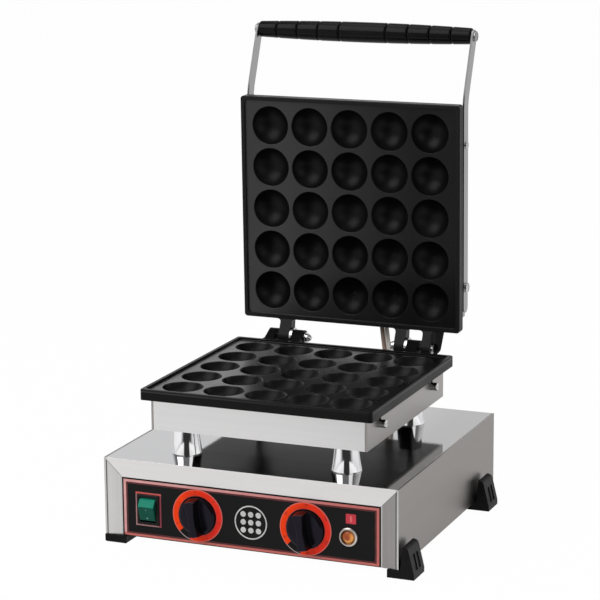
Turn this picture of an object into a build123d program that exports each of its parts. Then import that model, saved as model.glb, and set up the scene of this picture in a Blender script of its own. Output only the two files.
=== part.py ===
from build123d import *
from math import asin, cos, degrees, hypot, radians, sin, tan
import os

# A countertop bubble waffle maker: a cabinet with the controls, a lower baking unit on four flared
# legs, and an upper baking unit on two hinge pins, with a handle across its free end.
# Millimetres, X to the right, Y to the back, Z up. The origin lies on the table under the middle of
# the cabinet. The lid stands open on its stop, which is how it rests.

# Cabinet
CABINET_W = 317.0
CABINET_D = 299.0
CABINET_H = 81.0
SHEET = 1.2
SIDE_SHEET = 1.0
SIDE_HEM = 2.0
HEM_W = 8.0
SEAM = 0.3
SEAT = 0.1
FRAME_T = 3.2
BEZEL_SIDE = 18.8
BEZEL_TOP = 19.4
BEZEL_DIP = 2.0
REAR_FLANGE = 19.0
SIDE_FLANGE = 14.0
VENT_L = 40.0
VENT_W = 4.0
VENT_PITCH = 10.0
REAR_VENTS = 7
FLOOR_VENTS = 8

# Feet
FOOT_H = 8.0
FOOT_L = 30.0
FOOT_FRONT_Y = -136.0
FOOT_REAR_Y = 98.0
FOOT_PAD_W = 24.0
FOOT_UNDER = 11.5
FOOT_OUT = 16.5
FOOT_LEDGE_H = 5.0
FOOT_TOP_H = 32.5
FOOT_TOP_OUT = 9.8
FOOT_TOP_T = 5.3
FOOT_TOP_R = 5.0
FOOT_LEAN = 2.0
FOOT_BORDER = 7.5
FOOT_BORDER_LOW = 3.0
FOOT_BORDER_TOP = 9.5
FOOT_GROOVES = 2
FOOT_RIB_T = 3.0
FOOT_RECESS = 1.4
FOOT_SCREW_IN = 6.5

# Fasteners
M4_R = 2.0
M4_HEAD_R = 4.0
M4_HEAD_H = 2.5
M4_NUT_R = 4.0
M4_NUT_H = 3.0
M5_R = 2.5
HOLE_GAP = 0.25
FIT = 0.05
HEX = 6

# Control panel and what it carries
PANEL_T = 1.5
DIAL_X = (-55.9, 60.8)
DIAL_Z = 38.0
DIAL_R = 27.3
DIAL_BORE_R = 20.5
DIAL_T = 0.6
KNOB_R = 19.5
KNOB_SKIRT_H = 3.5
KNOB_DOME_IN = 2.4
KNOB_H = 16.0
KNOB_GAP = 1.0
KNOB_EDGE = 1.0
GRIP_WAIST = 9.0
GRIP_END = 13.0
GRIP_DRAFT = 1.2
SPINDLE_R = 3.0
SPINDLE_HOLE_R = 4.0
SPINDLE_BITE = 10.0
SPINDLE_SOCKET = 9.0
KNOB_TURN = 8.0
TIMER_R = 22.0
TIMER_D = 30.0
REGULATOR_W = 36.0
REGULATOR_D = 34.0
REGULATOR_H = 38.0
REGULATOR_CORNER_R = 3.0
SWITCH_X = -110.5
SWITCH_Z = 38.2
SWITCH_W = 24.6
SWITCH_H = 31.4
SWITCH_RIM_T = 2.0
SWITCH_BODY_W = 21.8
SWITCH_BODY_H = 28.4
SWITCH_BODY_D = 24.0
ROCKER_W = 17.0
ROCKER_R = 12.6
ROCKER_RIDGE_H = 4.2
ROCKER_RIDGE_OUT = 11.4
ROCKER_LOW_OUT = 6.2
ROCKER_HIGH_OUT = 7.4
ROCKER_BACK = 2.5
ROCKER_GAP = 0.4
PIVOT_IN = 4.0
TRUNNION_R = 1.5
TRUNNION_L = 1.5
BLADE_W = 6.3
BLADE_T = 0.8
BLADE_L = 9.0
LAMP_X = 106.0
LAMP_Z = 35.2
LAMP_R = 9.65
LAMP_BEZEL_H = 2.6
LENS_R = 5.8
LENS_OUT = 3.8
LENS_RIM_OUT = 1.6
LAMP_BODY_D = 22.0

# Legs between the cabinet and the lower baking unit
LEG_H = 26.7
LEG_TOP_R = 12.25
LEG_MID_R = 13.7
LEG_FOOT_R = 15.75
LEG_RIM_H = 1.0
LEG_X = 87.0
LEG_FRONT_Y = -103.9
LEG_REAR_Y = 82.1
TUBE_R = 5.0
TUBE_BORE_R = 3.4
TUBE_NUT_R = 8.5
TUBE_NUT_H = 4.0

# Baking plates: one casting, used below and, turned over, above
PLATE_W = 250.0
PLATE_D = 245.0
PLATE_T = 11.2
PLATE_Y = -10.9
PLATE_CORNER_R = 3.5
PLATE_EDGE = 0.8
RIM_W = 4.5
RIM_H = 2.2
RIM_CORNER_R = 4.0
CUP_D = 42.0
CUP_DEPTH = 14.0
CUP_PITCH = 45.6
CUP_ROWS = 5
CUP_LIP_R = 0.7
BLOCK_WALL_X = 3.3
BLOCK_WALL_Y = 2.5
BLOCK_FLOOR_T = 3.3
BOSS_L = 14.0
BOSS_R = 6.5
PLATE_GAP = 0.2

# Hinge
HINGE_BACK = 19.0
EYE_R = 8.0
LUG_ROOT_R = 3.5
LUG_WEB_LOW = 0.4
LUG_WEB_TOP = 0.4
LUGS = ((-94.0, -84.0), (-65.0, -53.0), (68.5, 81.5))
LUG_FLARE = 11.0
PIN_R = 4.0
PIN_FIT = 0.05
PIN_HEAD_R = 5.5
PIN_HEAD_H = 2.0
PIN_END_GAP = 0.3
NUT_WASHER_R = 6.0
NUT_WASHER_T = 1.5
DOME_R = 4.2
DOME_L = 6.5
THRUST_WASHER_R = 10.0
THRUST_GAP = 0.2
OPEN_ANGLE = 89.0

# Housings of the baking units
HOUSING_INSET_X = 8.4
HOUSING_INSET_Y = 9.15
HOUSING_H = 32.1
HOUSING_Y = -10.75
NOTCH_W = 5.6
INSULATION_W = 140.0
INSULATION_D = 160.0
INSULATION_T = 9.0
INSULATION_CORNER_R = 8.0
ELEMENT_R = 4.0
ELEMENT_X = 68.4
ELEMENT_FRONT_Y = -88.0
ELEMENT_BACK_Y = 60.0
ELEMENT_END_Y = 80.0
ELEMENT_BEND_R = 15.0
CLAMP_W = 160.0
CLAMP_D = 110.0
CLAMP_T = 2.0
CLAMP_CORNER_R = 6.0
POST_R = 6.0
POST_TIP_R = 3.0
POST_X = 45.6
POST_Y = 45.6

# Feeler of the thermostat
BULB_R = 3.0
BULB_L = 64.0
BULB_X = 68.4
BULB_DROP = 4.3
CAPILLARY_R = 1.0
CAPILLARY_BEND_R = 2.5
CAPILLARY_GAP = 1.3
CAPILLARY_HIGH = 9.0
CAPILLARY_LOW_Z = 60.0
CAPILLARY_LEAD_IN = 15.0

# Side screws, which on the lid also carry the handle arms
SCREW_W = (45.7, 199.8)
SCREW_V = 23.4
SLEEVE_R = 4.2
SLEEVE_L = 4.6
SIDE_HEAD_H = 2.2
SCREW_BITE = 10.0
SCREW_SLOT_W = 1.2
SCREW_SLOT_T = 0.9

# Handle
ARM_GAP = 5.65
ARM_T = 2.0
ARM_WIDTH = 13.5
ARM_START_W = 18.0
ARM_BEND_W = 246.0
ARM_BEND_R = 60.0
GRIP_V = 51.5
GRIP_W = 311.5
GRIP_MID_R = 11.0
GRIP_END_R = 8.6
GRIP_GAP = 0.4
GROOVES = (22.5, 46.5, 71.0, 95.5)
GROOVE_HALF = 2.0
GROOVE_DEPTH = 2.0
GRIP_END_ROUND = 2.2
ROD_R = 3.5
ROD_HEAD_R = 5.5
ROD_HEAD_H = 2.6
ARM_HEAD_R = (5.4, 3.8)
ARM_HEAD_H = (3.0, 2.0)

# Leads to the upper heating element, and their grommets
LEAD_R = 2.4
LEAD_SPACING = 5.3
LEAD_ROUNDING = 0.45
GROMMET_W = 18.0
GROMMET_L = 12.0
GROMMET_T = 2.0
GROMMET_NECK_W = 14.0
GROMMET_NECK_L = 8.0
GROMMET_NECK = 4.0
LEAD_BASE_X = 40.0
LEAD_BASE_Y = 139.0
LEAD_LID_X = 26.0
LEAD_LID_V = 26.0
LEAD_POINTS = ((0.0, 0.0, 38.0), (-8.5, 9.0, 74.0))

# Mains inlet and terminals
GLAND_X = 100.0
GLAND_Z = 34.0
GLAND_BORE_R = 4.25
GLAND_THREAD_R = 8.0
GLAND_NUT_R = 11.0
GLAND_NUT_H = 5.0
GLAND_CAP_R = 9.0
GLAND_CAP_L = 12.0
GLAND_INSIDE = 14.0
TERMINAL_W = 60.0
TERMINAL_D = 22.0
TERMINAL_H = 18.0
TERMINAL_X = 90.0
TERMINAL_Y = 105.0
TERMINAL_WAYS = 5
TERMINAL_HOLE_R = 2.4

# Levels and edges that follow from the sizes above
HALF_W = CABINET_W / 2
HALF_D = CABINET_D / 2
TOP_Z = FOOT_H + CABINET_H
SHELL_HALF = HALF_W - SIDE_HEM - SEAM
PANEL_HALF = HALF_W - BEZEL_SIDE
PANEL_TOP = TOP_Z - BEZEL_TOP
PANEL_Y = -(HALF_D - BEZEL_DIP)
PANEL_BACK = PANEL_Y + PANEL_T
REAR_FACE = HALF_D - SHEET - SEAT
COVER_Z = FOOT_H + SHEET
COVER_TOP = COVER_Z + SHEET
HOUSING_Z = TOP_Z + LEG_H
HOUSING_HALF = PLATE_W / 2 - HOUSING_INSET_X
HOUSING_D = PLATE_D - 2 * HOUSING_INSET_Y
ARM_IN = HOUSING_HALF + ARM_GAP
PLATE_Z = HOUSING_Z + HOUSING_H
FACE_Z = PLATE_Z + PLATE_T
FIELD_Z = FACE_Z - RIM_H
CUP_SPHERE_R = ((CUP_D / 2) ** 2 + CUP_DEPTH**2) / (2 * CUP_DEPTH)
CUP_CENTRE_Z = FIELD_Z - CUP_DEPTH + CUP_SPHERE_R
BLOCK_Z = FIELD_Z - CUP_DEPTH - BLOCK_FLOOR_T
CUP_LOW_R = (CUP_SPHERE_R**2 - (CUP_CENTRE_Z - PLATE_Z) ** 2) ** 0.5
CUPS_HALF = (CUP_ROWS - 1) * CUP_PITCH / 2 + CUP_LOW_R
BLOCK_HALF_X = CUPS_HALF + BLOCK_WALL_X
BLOCK_HALF_Y = CUPS_HALF + BLOCK_WALL_Y
BLOCK_BACK = PLATE_Y + BLOCK_HALF_Y
REAR_WALL = PLATE_Y + PLATE_D / 2
HINGE_Y = REAR_WALL + HINGE_BACK
HINGE_Z = FACE_Z + PLATE_GAP / 2
LID_FACE_Z = FACE_Z + PLATE_GAP
ELEMENT_Z = BLOCK_Z - ELEMENT_R - SEAT
CLAMP_Z = ELEMENT_Z - ELEMENT_R - SEAT
HINGE = Axis((0, HINGE_Y, HINGE_Z), (1, 0, 0))
TURN_OVER = Axis((0, 0, HINGE_Z), (0, 1, 0))
FLAT = (Align.CENTER, Align.CENTER, Align.MIN)

os.makedirs("parts", exist_ok=True)


def keep(part, name):
    """Label a finished piece and write it."""
    part.label = name
    export_step(part, f"parts/{name}.step")


def opened(part):
    """Swing a piece of the closed lid up to where the lid rests."""
    return part.rotate(HINGE, -OPEN_ANGLE)


def turned_over(part):
    """Carry a piece of the lower baking unit over to the same place in the lid."""
    return opened(part.rotate(TURN_OVER, 180))


def outward(x, z, y=PANEL_Y):
    """Plane on the control panel at x, z, facing the user."""
    return Plane(origin=(x, y, z), x_dir=(1, 0, 0), z_dir=(0, -1, 0))


def sideways(x, y, z, side):
    """Plane facing out of the left (-1) or right (+1) side."""
    return Plane(origin=(x, y, z), x_dir=(0, side, 0), z_dir=(side, 0, 0))


# Cabinet shell: top sheet, front frame that dips towards the control panel, rear turn-down
legs = [(x, y) for x in (-LEG_X, LEG_X) for y in (LEG_FRONT_Y, LEG_REAR_Y)]
with BuildPart() as cabinet_shell:
    with BuildSketch(Plane.XY.offset(TOP_Z - SHEET)):
        Rectangle(2 * SHELL_HALF, CABINET_D)
    extrude(amount=SHEET)
    with BuildSketch(Plane.XZ.offset(HALF_D - FRAME_T)):
        with Locations((0, FOOT_H)):
            Rectangle(2 * SHELL_HALF, CABINET_H, align=(Align.CENTER, Align.MIN))
    extrude(amount=FRAME_T)
    with BuildSketch(Plane.XZ.offset(HALF_D)):
        Rectangle(2 * SHELL_HALF, TOP_Z, align=(Align.CENTER, Align.MIN))
    with BuildSketch(Plane.XZ.offset(HALF_D - BEZEL_DIP)):
        Rectangle(2 * PANEL_HALF, PANEL_TOP, align=(Align.CENTER, Align.MIN))
    loft(mode=Mode.SUBTRACT)
    with BuildSketch(Plane.XZ.offset(HALF_D - FRAME_T)):
        Rectangle(2 * PANEL_HALF, PANEL_TOP, align=(Align.CENTER, Align.MIN))
    extrude(amount=FRAME_T, mode=Mode.SUBTRACT)
    with BuildSketch(Plane.XZ.offset(-HALF_D)):
        with Locations((0, TOP_Z)):
            Rectangle(2 * SHELL_HALF, REAR_FLANGE, align=(Align.CENTER, Align.MAX))
    extrude(amount=SHEET)
    with Locations([(x, y, TOP_Z) for x, y in legs]):
        Hole(TUBE_R + HOLE_GAP, depth=2 * SHEET)
    with BuildSketch(Plane.XY.offset(TOP_Z)):
        with Locations((LEAD_BASE_X + LEAD_SPACING / 2, LEAD_BASE_Y)):
            SlotOverall(GROMMET_NECK_W + 2 * HOLE_GAP, GROMMET_NECK_L + 2 * HOLE_GAP)
    extrude(amount=-2 * SHEET, mode=Mode.SUBTRACT)
keep(cabinet_shell.part, "cabinet_shell")

# Side panels: sheet with a hem all round, and a flange along the bottom
foot_spots = [(side * (HALF_W - FOOT_SCREW_IN), y) for side in (-1, 1) for y in (FOOT_FRONT_Y, FOOT_REAR_Y)]
with BuildPart() as side_panel_right:
    with BuildSketch(Plane.YZ.offset(HALF_W - SIDE_HEM)):
        with Locations((0, FOOT_H)):
            Rectangle(CABINET_D, CABINET_H, align=(Align.CENTER, Align.MIN))
    extrude(amount=SIDE_HEM)
    with BuildSketch(Plane.YZ.offset(HALF_W - SIDE_HEM)):
        with Locations((0, FOOT_H + CABINET_H / 2)):
            Rectangle(CABINET_D - 2 * HEM_W, CABINET_H - 2 * HEM_W)
    extrude(amount=SIDE_HEM - SIDE_SHEET, mode=Mode.SUBTRACT)
    with BuildSketch(Plane.XY.offset(FOOT_H)):
        with Locations((HALF_W - SIDE_SHEET, 0)):
            Rectangle(SIDE_FLANGE, CABINET_D - 2 * HEM_W, align=(Align.MAX, Align.CENTER))
    extrude(amount=SHEET)
    with Locations([(x, y, COVER_Z) for x, y in foot_spots if x > 0]):
        Hole(M4_R + HOLE_GAP, depth=2 * SHEET)
keep(side_panel_right.part, "side_panel_right")

with BuildPart() as side_panel_left:
    mirror(side_panel_right.part, about=Plane.YZ)
keep(side_panel_left.part, "side_panel_left")

# Rear panel behind the turn-down, with vent slots and the hole for the mains gland
with BuildPart() as rear_panel:
    with BuildSketch(Plane.XZ.offset(-REAR_FACE)):
        with Locations((0, COVER_Z + SEAT)):
            height = TOP_Z - SHEET - SEAT - COVER_Z - SEAT
            Rectangle(2 * SHELL_HALF, height, align=(Align.CENTER, Align.MIN))
        with Locations((0, FOOT_H + CABINET_H / 2)):
            with GridLocations(2 * VENT_PITCH, 0, REAR_VENTS, 1):
                SlotOverall(VENT_L, VENT_W, rotation=90, mode=Mode.SUBTRACT)
        with Locations((GLAND_X, GLAND_Z)):
            Circle(GLAND_THREAD_R + HOLE_GAP, mode=Mode.SUBTRACT)
    extrude(amount=SHEET)
keep(rear_panel.part, "rear_panel")

# Bottom cover, which lies on the side panels' flanges
cover_front = PANEL_BACK + 2 * SEAM
cover_back = REAR_FACE - SHEET - SEAM
with BuildPart() as bottom_cover:
    with BuildSketch(Plane.XY.offset(COVER_Z)):
        with Locations((0, (cover_front + cover_back) / 2)):
            Rectangle(2 * (SHELL_HALF - SEAM), cover_back - cover_front)
            with GridLocations(2 * VENT_L, 2 * VENT_PITCH, 2, FLOOR_VENTS):
                SlotOverall(VENT_L, VENT_W, mode=Mode.SUBTRACT)
        with Locations(foot_spots):
            Circle(M4_R + HOLE_GAP, mode=Mode.SUBTRACT)
    extrude(amount=SHEET)
keep(bottom_cover.part, "bottom_cover")

# Control panel plate
with BuildPart() as control_panel:
    with BuildSketch(Plane.XZ.offset(-PANEL_BACK)):
        with Locations((0, FOOT_H)):
            height = PANEL_TOP - FOOT_H - SEAT
            Rectangle(2 * (PANEL_HALF - SEAT), height, align=(Align.CENTER, Align.MIN))
        with Locations([(x, DIAL_Z) for x in DIAL_X]):
            Circle(SPINDLE_HOLE_R, mode=Mode.SUBTRACT)
        with Locations((SWITCH_X, SWITCH_Z)):
            Rectangle(SWITCH_BODY_W + 2 * SEAT, SWITCH_BODY_H + 2 * SEAT, mode=Mode.SUBTRACT)
        with Locations((LAMP_X, LAMP_Z)):
            Circle(LENS_R + SEAM, mode=Mode.SUBTRACT)
    extrude(amount=PANEL_T)
keep(control_panel.part, "control_panel")

# Right feet: a slab under the wall and a leaning upright outside it, with grooves in its face
slope = Vector(FOOT_TOP_OUT - FOOT_OUT, FOOT_TOP_H - FOOT_LEDGE_H).normalized()
face = Vector(slope.Y, -slope.X)
slope_l = hypot(FOOT_TOP_OUT - FOOT_OUT, FOOT_TOP_H - FOOT_LEDGE_H)
groove_w = (FOOT_L - 2 * FOOT_BORDER - (FOOT_GROOVES - 1) * FOOT_RIB_T) / FOOT_GROOVES
for name, y in (("foot_front_right", FOOT_FRONT_Y), ("foot_rear_right", FOOT_REAR_Y)):
    with BuildPart() as foot:
        with BuildSketch(Plane.XZ.offset(-y - FOOT_L / 2)) as side_view:
            Polygon(
                (HALF_W - FOOT_UNDER, 0),
                (HALF_W + FOOT_OUT, 0),
                (HALF_W + FOOT_OUT, FOOT_LEDGE_H),
                (HALF_W + FOOT_TOP_OUT, FOOT_TOP_H),
                (HALF_W + FOOT_TOP_OUT - FOOT_TOP_T, FOOT_TOP_H),
                (HALF_W + FOOT_LEAN, FOOT_H),
                (HALF_W - FOOT_UNDER, FOOT_H),
                align=None,
            )
            top_corner = (HALF_W + FOOT_TOP_OUT, FOOT_TOP_H)
            fillet(side_view.vertices().sort_by_distance(top_corner)[0], radius=FOOT_TOP_R)
        extrude(amount=FOOT_L)
        start = Vector(HALF_W + FOOT_OUT, FOOT_LEDGE_H) + slope * FOOT_BORDER_LOW
        end = Vector(HALF_W + FOOT_OUT, FOOT_LEDGE_H) + slope * (slope_l - FOOT_BORDER_TOP)
        for k in range(FOOT_GROOVES):
            groove_end = y + FOOT_L / 2 - FOOT_BORDER - k * (groove_w + FOOT_RIB_T)
            with BuildSketch(Plane.XZ.offset(-groove_end)):
                corners = (start + face, end + face, end - face * FOOT_RECESS, start - face * FOOT_RECESS)
                Polygon(*[(p.X, p.Y) for p in corners], align=None)
            extrude(amount=groove_w, mode=Mode.SUBTRACT)
        with Locations((HALF_W - FOOT_SCREW_IN, y, FOOT_H)):
            Hole(M4_R + HOLE_GAP, depth=FOOT_H)
        with Locations((HALF_W - FOOT_SCREW_IN, y, 0)):
            Cylinder(M4_HEAD_R + HOLE_GAP, FOOT_H / 2, align=FLAT, mode=Mode.SUBTRACT)
    keep(foot.part, name)

# Left feet: flat pads under the wall
for name, y in (("foot_front_left", FOOT_FRONT_Y), ("foot_rear_left", FOOT_REAR_Y)):
    with BuildPart() as foot:
        with BuildSketch(Plane.XY):
            with Locations((-HALF_W + FOOT_PAD_W / 2, y)):
                Rectangle(FOOT_PAD_W, FOOT_L)
        extrude(amount=FOOT_H)
        chamfer(foot.faces().sort_by(Axis.Z)[0].edges(), length=SHEET)
        with Locations((-HALF_W + FOOT_SCREW_IN, y, FOOT_H)):
            Hole(M4_R + HOLE_GAP, depth=FOOT_H)
        with Locations((-HALF_W + FOOT_SCREW_IN, y, 0)):
            Cylinder(M4_HEAD_R + HOLE_GAP, FOOT_H / 2, align=FLAT, mode=Mode.SUBTRACT)
    keep(foot.part, name)

# Screws that hold the feet, with their nuts on the bottom cover
with BuildPart() as foot_screws:
    head_z = FOOT_H / 2 - M4_HEAD_H
    with Locations([(x, y, head_z) for x, y in foot_spots]):
        Cylinder(M4_HEAD_R, M4_HEAD_H, align=FLAT)
        Cylinder(M4_R, COVER_TOP + M4_NUT_H + SHEET - head_z, align=FLAT)
    with BuildSketch(Plane.XY.offset(COVER_TOP)):
        with Locations(foot_spots):
            RegularPolygon(M4_NUT_R, HEX)
    extrude(amount=M4_NUT_H)
keep(foot_screws.part, "foot_screws")

# Dial rings round the knobs
for name, x in zip(("dial_ring_left", "dial_ring_right"), DIAL_X):
    with BuildPart() as ring:
        with BuildSketch(outward(x, DIAL_Z)):
            Circle(DIAL_R)
            Circle(DIAL_BORE_R, mode=Mode.SUBTRACT)
        extrude(amount=DIAL_T)
    keep(ring.part, name)

# Knobs: a round skirt with a waisted grip across it
for name, x in zip(("knob_left", "knob_right"), DIAL_X):
    base = outward(x, DIAL_Z).offset(KNOB_GAP)
    across = Vector(cos(radians(KNOB_TURN)), 0, sin(radians(KNOB_TURN)))
    with BuildPart() as knob:
        with BuildSketch(base):
            Circle(KNOB_R)
        extrude(amount=KNOB_SKIRT_H)
        chamfer(knob.faces().sort_by(Axis.Y)[0].edges(), length=KNOB_EDGE, length2=KNOB_DOME_IN)
        for height, inset in ((0, 0), (KNOB_H, GRIP_DRAFT)):
            side = GRIP_END / 2 - inset
            waist = GRIP_WAIST / 2 - inset
            end_r = KNOB_R - inset
            end_y = (end_r**2 - side**2) ** 0.5
            with BuildSketch(Plane(origin=base.offset(height).origin, x_dir=across, z_dir=base.z_dir)):
                with BuildLine():
                    ThreePointArc((-side, end_y), (0, end_r), (side, end_y))
                    ThreePointArc((side, end_y), (waist, 0), (side, -end_y))
                    ThreePointArc((side, -end_y), (0, -end_r), (-side, -end_y))
                    ThreePointArc((-side, -end_y), (-waist, 0), (-side, end_y))
                make_face()
        loft()
        fillet(knob.faces().sort_by(Axis.Y)[0].edges(), radius=KNOB_EDGE)
        with Locations(base):
            Cylinder(SPINDLE_R + FIT, SPINDLE_BITE, align=FLAT, mode=Mode.SUBTRACT)
    keep(knob.part, name)

# Spindles from the knobs into the timer and the thermostat
spindle_l = SPINDLE_BITE + KNOB_GAP + PANEL_T + SPINDLE_SOCKET - 2 * SEAT
for name, x in zip(("spindle_left", "spindle_right"), DIAL_X):
    with BuildPart() as spindle:
        with Locations(outward(x, DIAL_Z, PANEL_BACK).offset(SEAT - SPINDLE_SOCKET)):
            Cylinder(SPINDLE_R, spindle_l, align=FLAT)
    keep(spindle.part, name)

# Timer behind the left dial and thermostat behind the right one
timer_x, regulator_x = DIAL_X
with BuildPart() as timer_body:
    with Locations(outward(timer_x, DIAL_Z, PANEL_BACK).offset(-TIMER_D)):
        Cylinder(TIMER_R, TIMER_D, align=FLAT)
    with Locations(outward(timer_x, DIAL_Z, PANEL_BACK).offset(-SPINDLE_SOCKET)):
        Cylinder(SPINDLE_R + FIT, SPINDLE_SOCKET, align=FLAT, mode=Mode.SUBTRACT)
keep(timer_body.part, "timer_body")

with BuildPart() as thermostat_body:
    with BuildSketch(outward(regulator_x, DIAL_Z, PANEL_BACK)):
        RectangleRounded(REGULATOR_W, REGULATOR_H, REGULATOR_CORNER_R)
    extrude(amount=-REGULATOR_D)
    with Locations(outward(regulator_x, DIAL_Z, PANEL_BACK).offset(-SPINDLE_SOCKET)):
        Cylinder(SPINDLE_R + FIT, SPINDLE_SOCKET, align=FLAT, mode=Mode.SUBTRACT)
keep(thermostat_body.part, "thermostat_body")

# Rocker switch: housing with its rim on the panel, and the rocker on two trunnions
pivot_y = PANEL_Y + PIVOT_IN
window_h = 2 * (ROCKER_R + ROCKER_GAP)
window_w = ROCKER_W + 2 * ROCKER_GAP
with BuildPart() as switch_housing:
    with BuildSketch(outward(SWITCH_X, SWITCH_Z)):
        Rectangle(SWITCH_W, SWITCH_H)
    extrude(amount=SWITCH_RIM_T)
    chamfer(switch_housing.faces().sort_by(Axis.Y)[0].edges(), length=SWITCH_RIM_T / 3)
    with BuildSketch(outward(SWITCH_X, SWITCH_Z)):
        Rectangle(SWITCH_BODY_W, SWITCH_BODY_H)
    extrude(amount=-SWITCH_BODY_D)
    with BuildSketch(outward(SWITCH_X, SWITCH_Z).offset(SWITCH_RIM_T)):
        Rectangle(window_w, window_h)
    extrude(amount=-SWITCH_RIM_T - PIVOT_IN - ROCKER_R - ROCKER_GAP, mode=Mode.SUBTRACT)
    with Locations(Plane(origin=(SWITCH_X, pivot_y, SWITCH_Z), z_dir=(1, 0, 0))):
        socket_l = ROCKER_W + 2 * (TRUNNION_L + ROCKER_GAP)
        Cylinder(TRUNNION_R + FIT, socket_l, mode=Mode.SUBTRACT)
    with BuildSketch(outward(SWITCH_X, SWITCH_Z).offset(-SWITCH_BODY_D)):
        with GridLocations(SWITCH_BODY_W / 2, SWITCH_BODY_H / 3, 2, 2):
            Rectangle(BLADE_T, BLADE_W)
    extrude(amount=-BLADE_L)
keep(switch_housing.part, "switch_housing")


def on_rocker(out, up):
    """Point of the rocker's outline, counted from its pivot."""
    return (pivot_y - out, SWITCH_Z + up)


low = (ROCKER_LOW_OUT, -((ROCKER_R**2 - ROCKER_LOW_OUT**2) ** 0.5))
high = (ROCKER_HIGH_OUT, (ROCKER_R**2 - ROCKER_HIGH_OUT**2) ** 0.5)
back_up = (ROCKER_R**2 - ROCKER_BACK**2) ** 0.5
with BuildPart() as switch_rocker:
    with BuildSketch(Plane.YZ.offset(SWITCH_X - ROCKER_W / 2)):
        with BuildLine():
            Polyline(on_rocker(*low), on_rocker(ROCKER_RIDGE_OUT, ROCKER_RIDGE_H), on_rocker(*high))
            ThreePointArc(on_rocker(*high), on_rocker(0, ROCKER_R), on_rocker(-ROCKER_BACK, back_up))
            Line(on_rocker(-ROCKER_BACK, back_up), on_rocker(-ROCKER_BACK, -back_up))
            ThreePointArc(on_rocker(-ROCKER_BACK, -back_up), on_rocker(0, -ROCKER_R), on_rocker(*low))
        make_face()
    extrude(amount=ROCKER_W)
    with Locations(Plane(origin=(SWITCH_X, pivot_y, SWITCH_Z), z_dir=(1, 0, 0))):
        Cylinder(TRUNNION_R, ROCKER_W + 2 * TRUNNION_L)
keep(switch_rocker.part, "switch_rocker")

# Pilot lamp: bezel, lens and body
with BuildPart() as lamp_bezel:
    with BuildSketch(Plane.XY.offset(LAMP_Z)):
        with BuildLine():
            inner = LAMP_X + LENS_R + SEAM
            outer = LAMP_X + LAMP_R
            Line((inner, PANEL_Y), (outer, PANEL_Y))
            crest = ((inner + outer) / 2, PANEL_Y - LAMP_BEZEL_H)
            ThreePointArc((outer, PANEL_Y), crest, (inner, PANEL_Y - LENS_RIM_OUT))
            Line((inner, PANEL_Y - LENS_RIM_OUT), (inner, PANEL_Y))
        make_face()
    revolve(axis=Axis((LAMP_X, 0, LAMP_Z), (0, 1, 0)))
keep(lamp_bezel.part, "lamp_bezel")

bulge = LENS_OUT - LENS_RIM_OUT
lens_dome_r = (LENS_R**2 + bulge**2) / (2 * bulge)
with BuildPart() as lamp_lens:
    with Locations(outward(LAMP_X, LAMP_Z, PANEL_BACK)):
        Cylinder(LENS_R, PANEL_T + LENS_RIM_OUT, align=FLAT)
    with Locations(outward(LAMP_X, LAMP_Z).offset(LENS_OUT - lens_dome_r)):
        Sphere(lens_dome_r, arc_size1=90 - degrees(asin(LENS_R / lens_dome_r)), align=None)
keep(lamp_lens.part, "lamp_lens")

with BuildPart() as lamp_body:
    with Locations(outward(LAMP_X, LAMP_Z, PANEL_BACK).offset(-LAMP_BODY_D)):
        Cylinder(LENS_R + SHEET, LAMP_BODY_D, align=FLAT)
keep(lamp_body.part, "lamp_body")

# Four flared legs, and the threaded tubes through them that carry the wiring
for name, (x, y) in zip(("leg_front_left", "leg_rear_left", "leg_front_right", "leg_rear_right"), legs):
    with BuildPart() as leg:
        with BuildSketch(Plane(origin=(x, y, TOP_Z), x_dir=(1, 0, 0), z_dir=(0, -1, 0))):
            with BuildLine():
                bore = TUBE_R + HOLE_GAP
                Polyline((bore, 0), (LEG_FOOT_R, 0), (LEG_FOOT_R, LEG_RIM_H))
                ThreePointArc((LEG_FOOT_R, LEG_RIM_H), (LEG_MID_R, LEG_H / 2), (LEG_TOP_R, LEG_H))
                Polyline((LEG_TOP_R, LEG_H), (bore, LEG_H), (bore, 0))
            make_face()
        revolve(axis=Axis((x, y, 0), (0, 0, 1)))
    keep(leg.part, name)

with BuildPart() as leg_tubes:
    low_end = TOP_Z - SHEET - TUBE_NUT_H - SHEET
    high_end = HOUSING_Z + SHEET + TUBE_NUT_H + SHEET
    with Locations([(x, y, low_end) for x, y in legs]):
        Cylinder(TUBE_R, high_end - low_end, align=FLAT)
    for z in (TOP_Z - SHEET - TUBE_NUT_H, HOUSING_Z + SHEET):
        with BuildSketch(Plane.XY.offset(z)):
            with Locations(legs):
                RegularPolygon(TUBE_NUT_R, HEX)
        extrude(amount=TUBE_NUT_H)
    with Locations([(x, y, low_end) for x, y in legs]):
        Cylinder(TUBE_BORE_R, high_end - low_end, align=FLAT, mode=Mode.SUBTRACT)
keep(leg_tubes.part, "leg_tubes")


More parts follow.
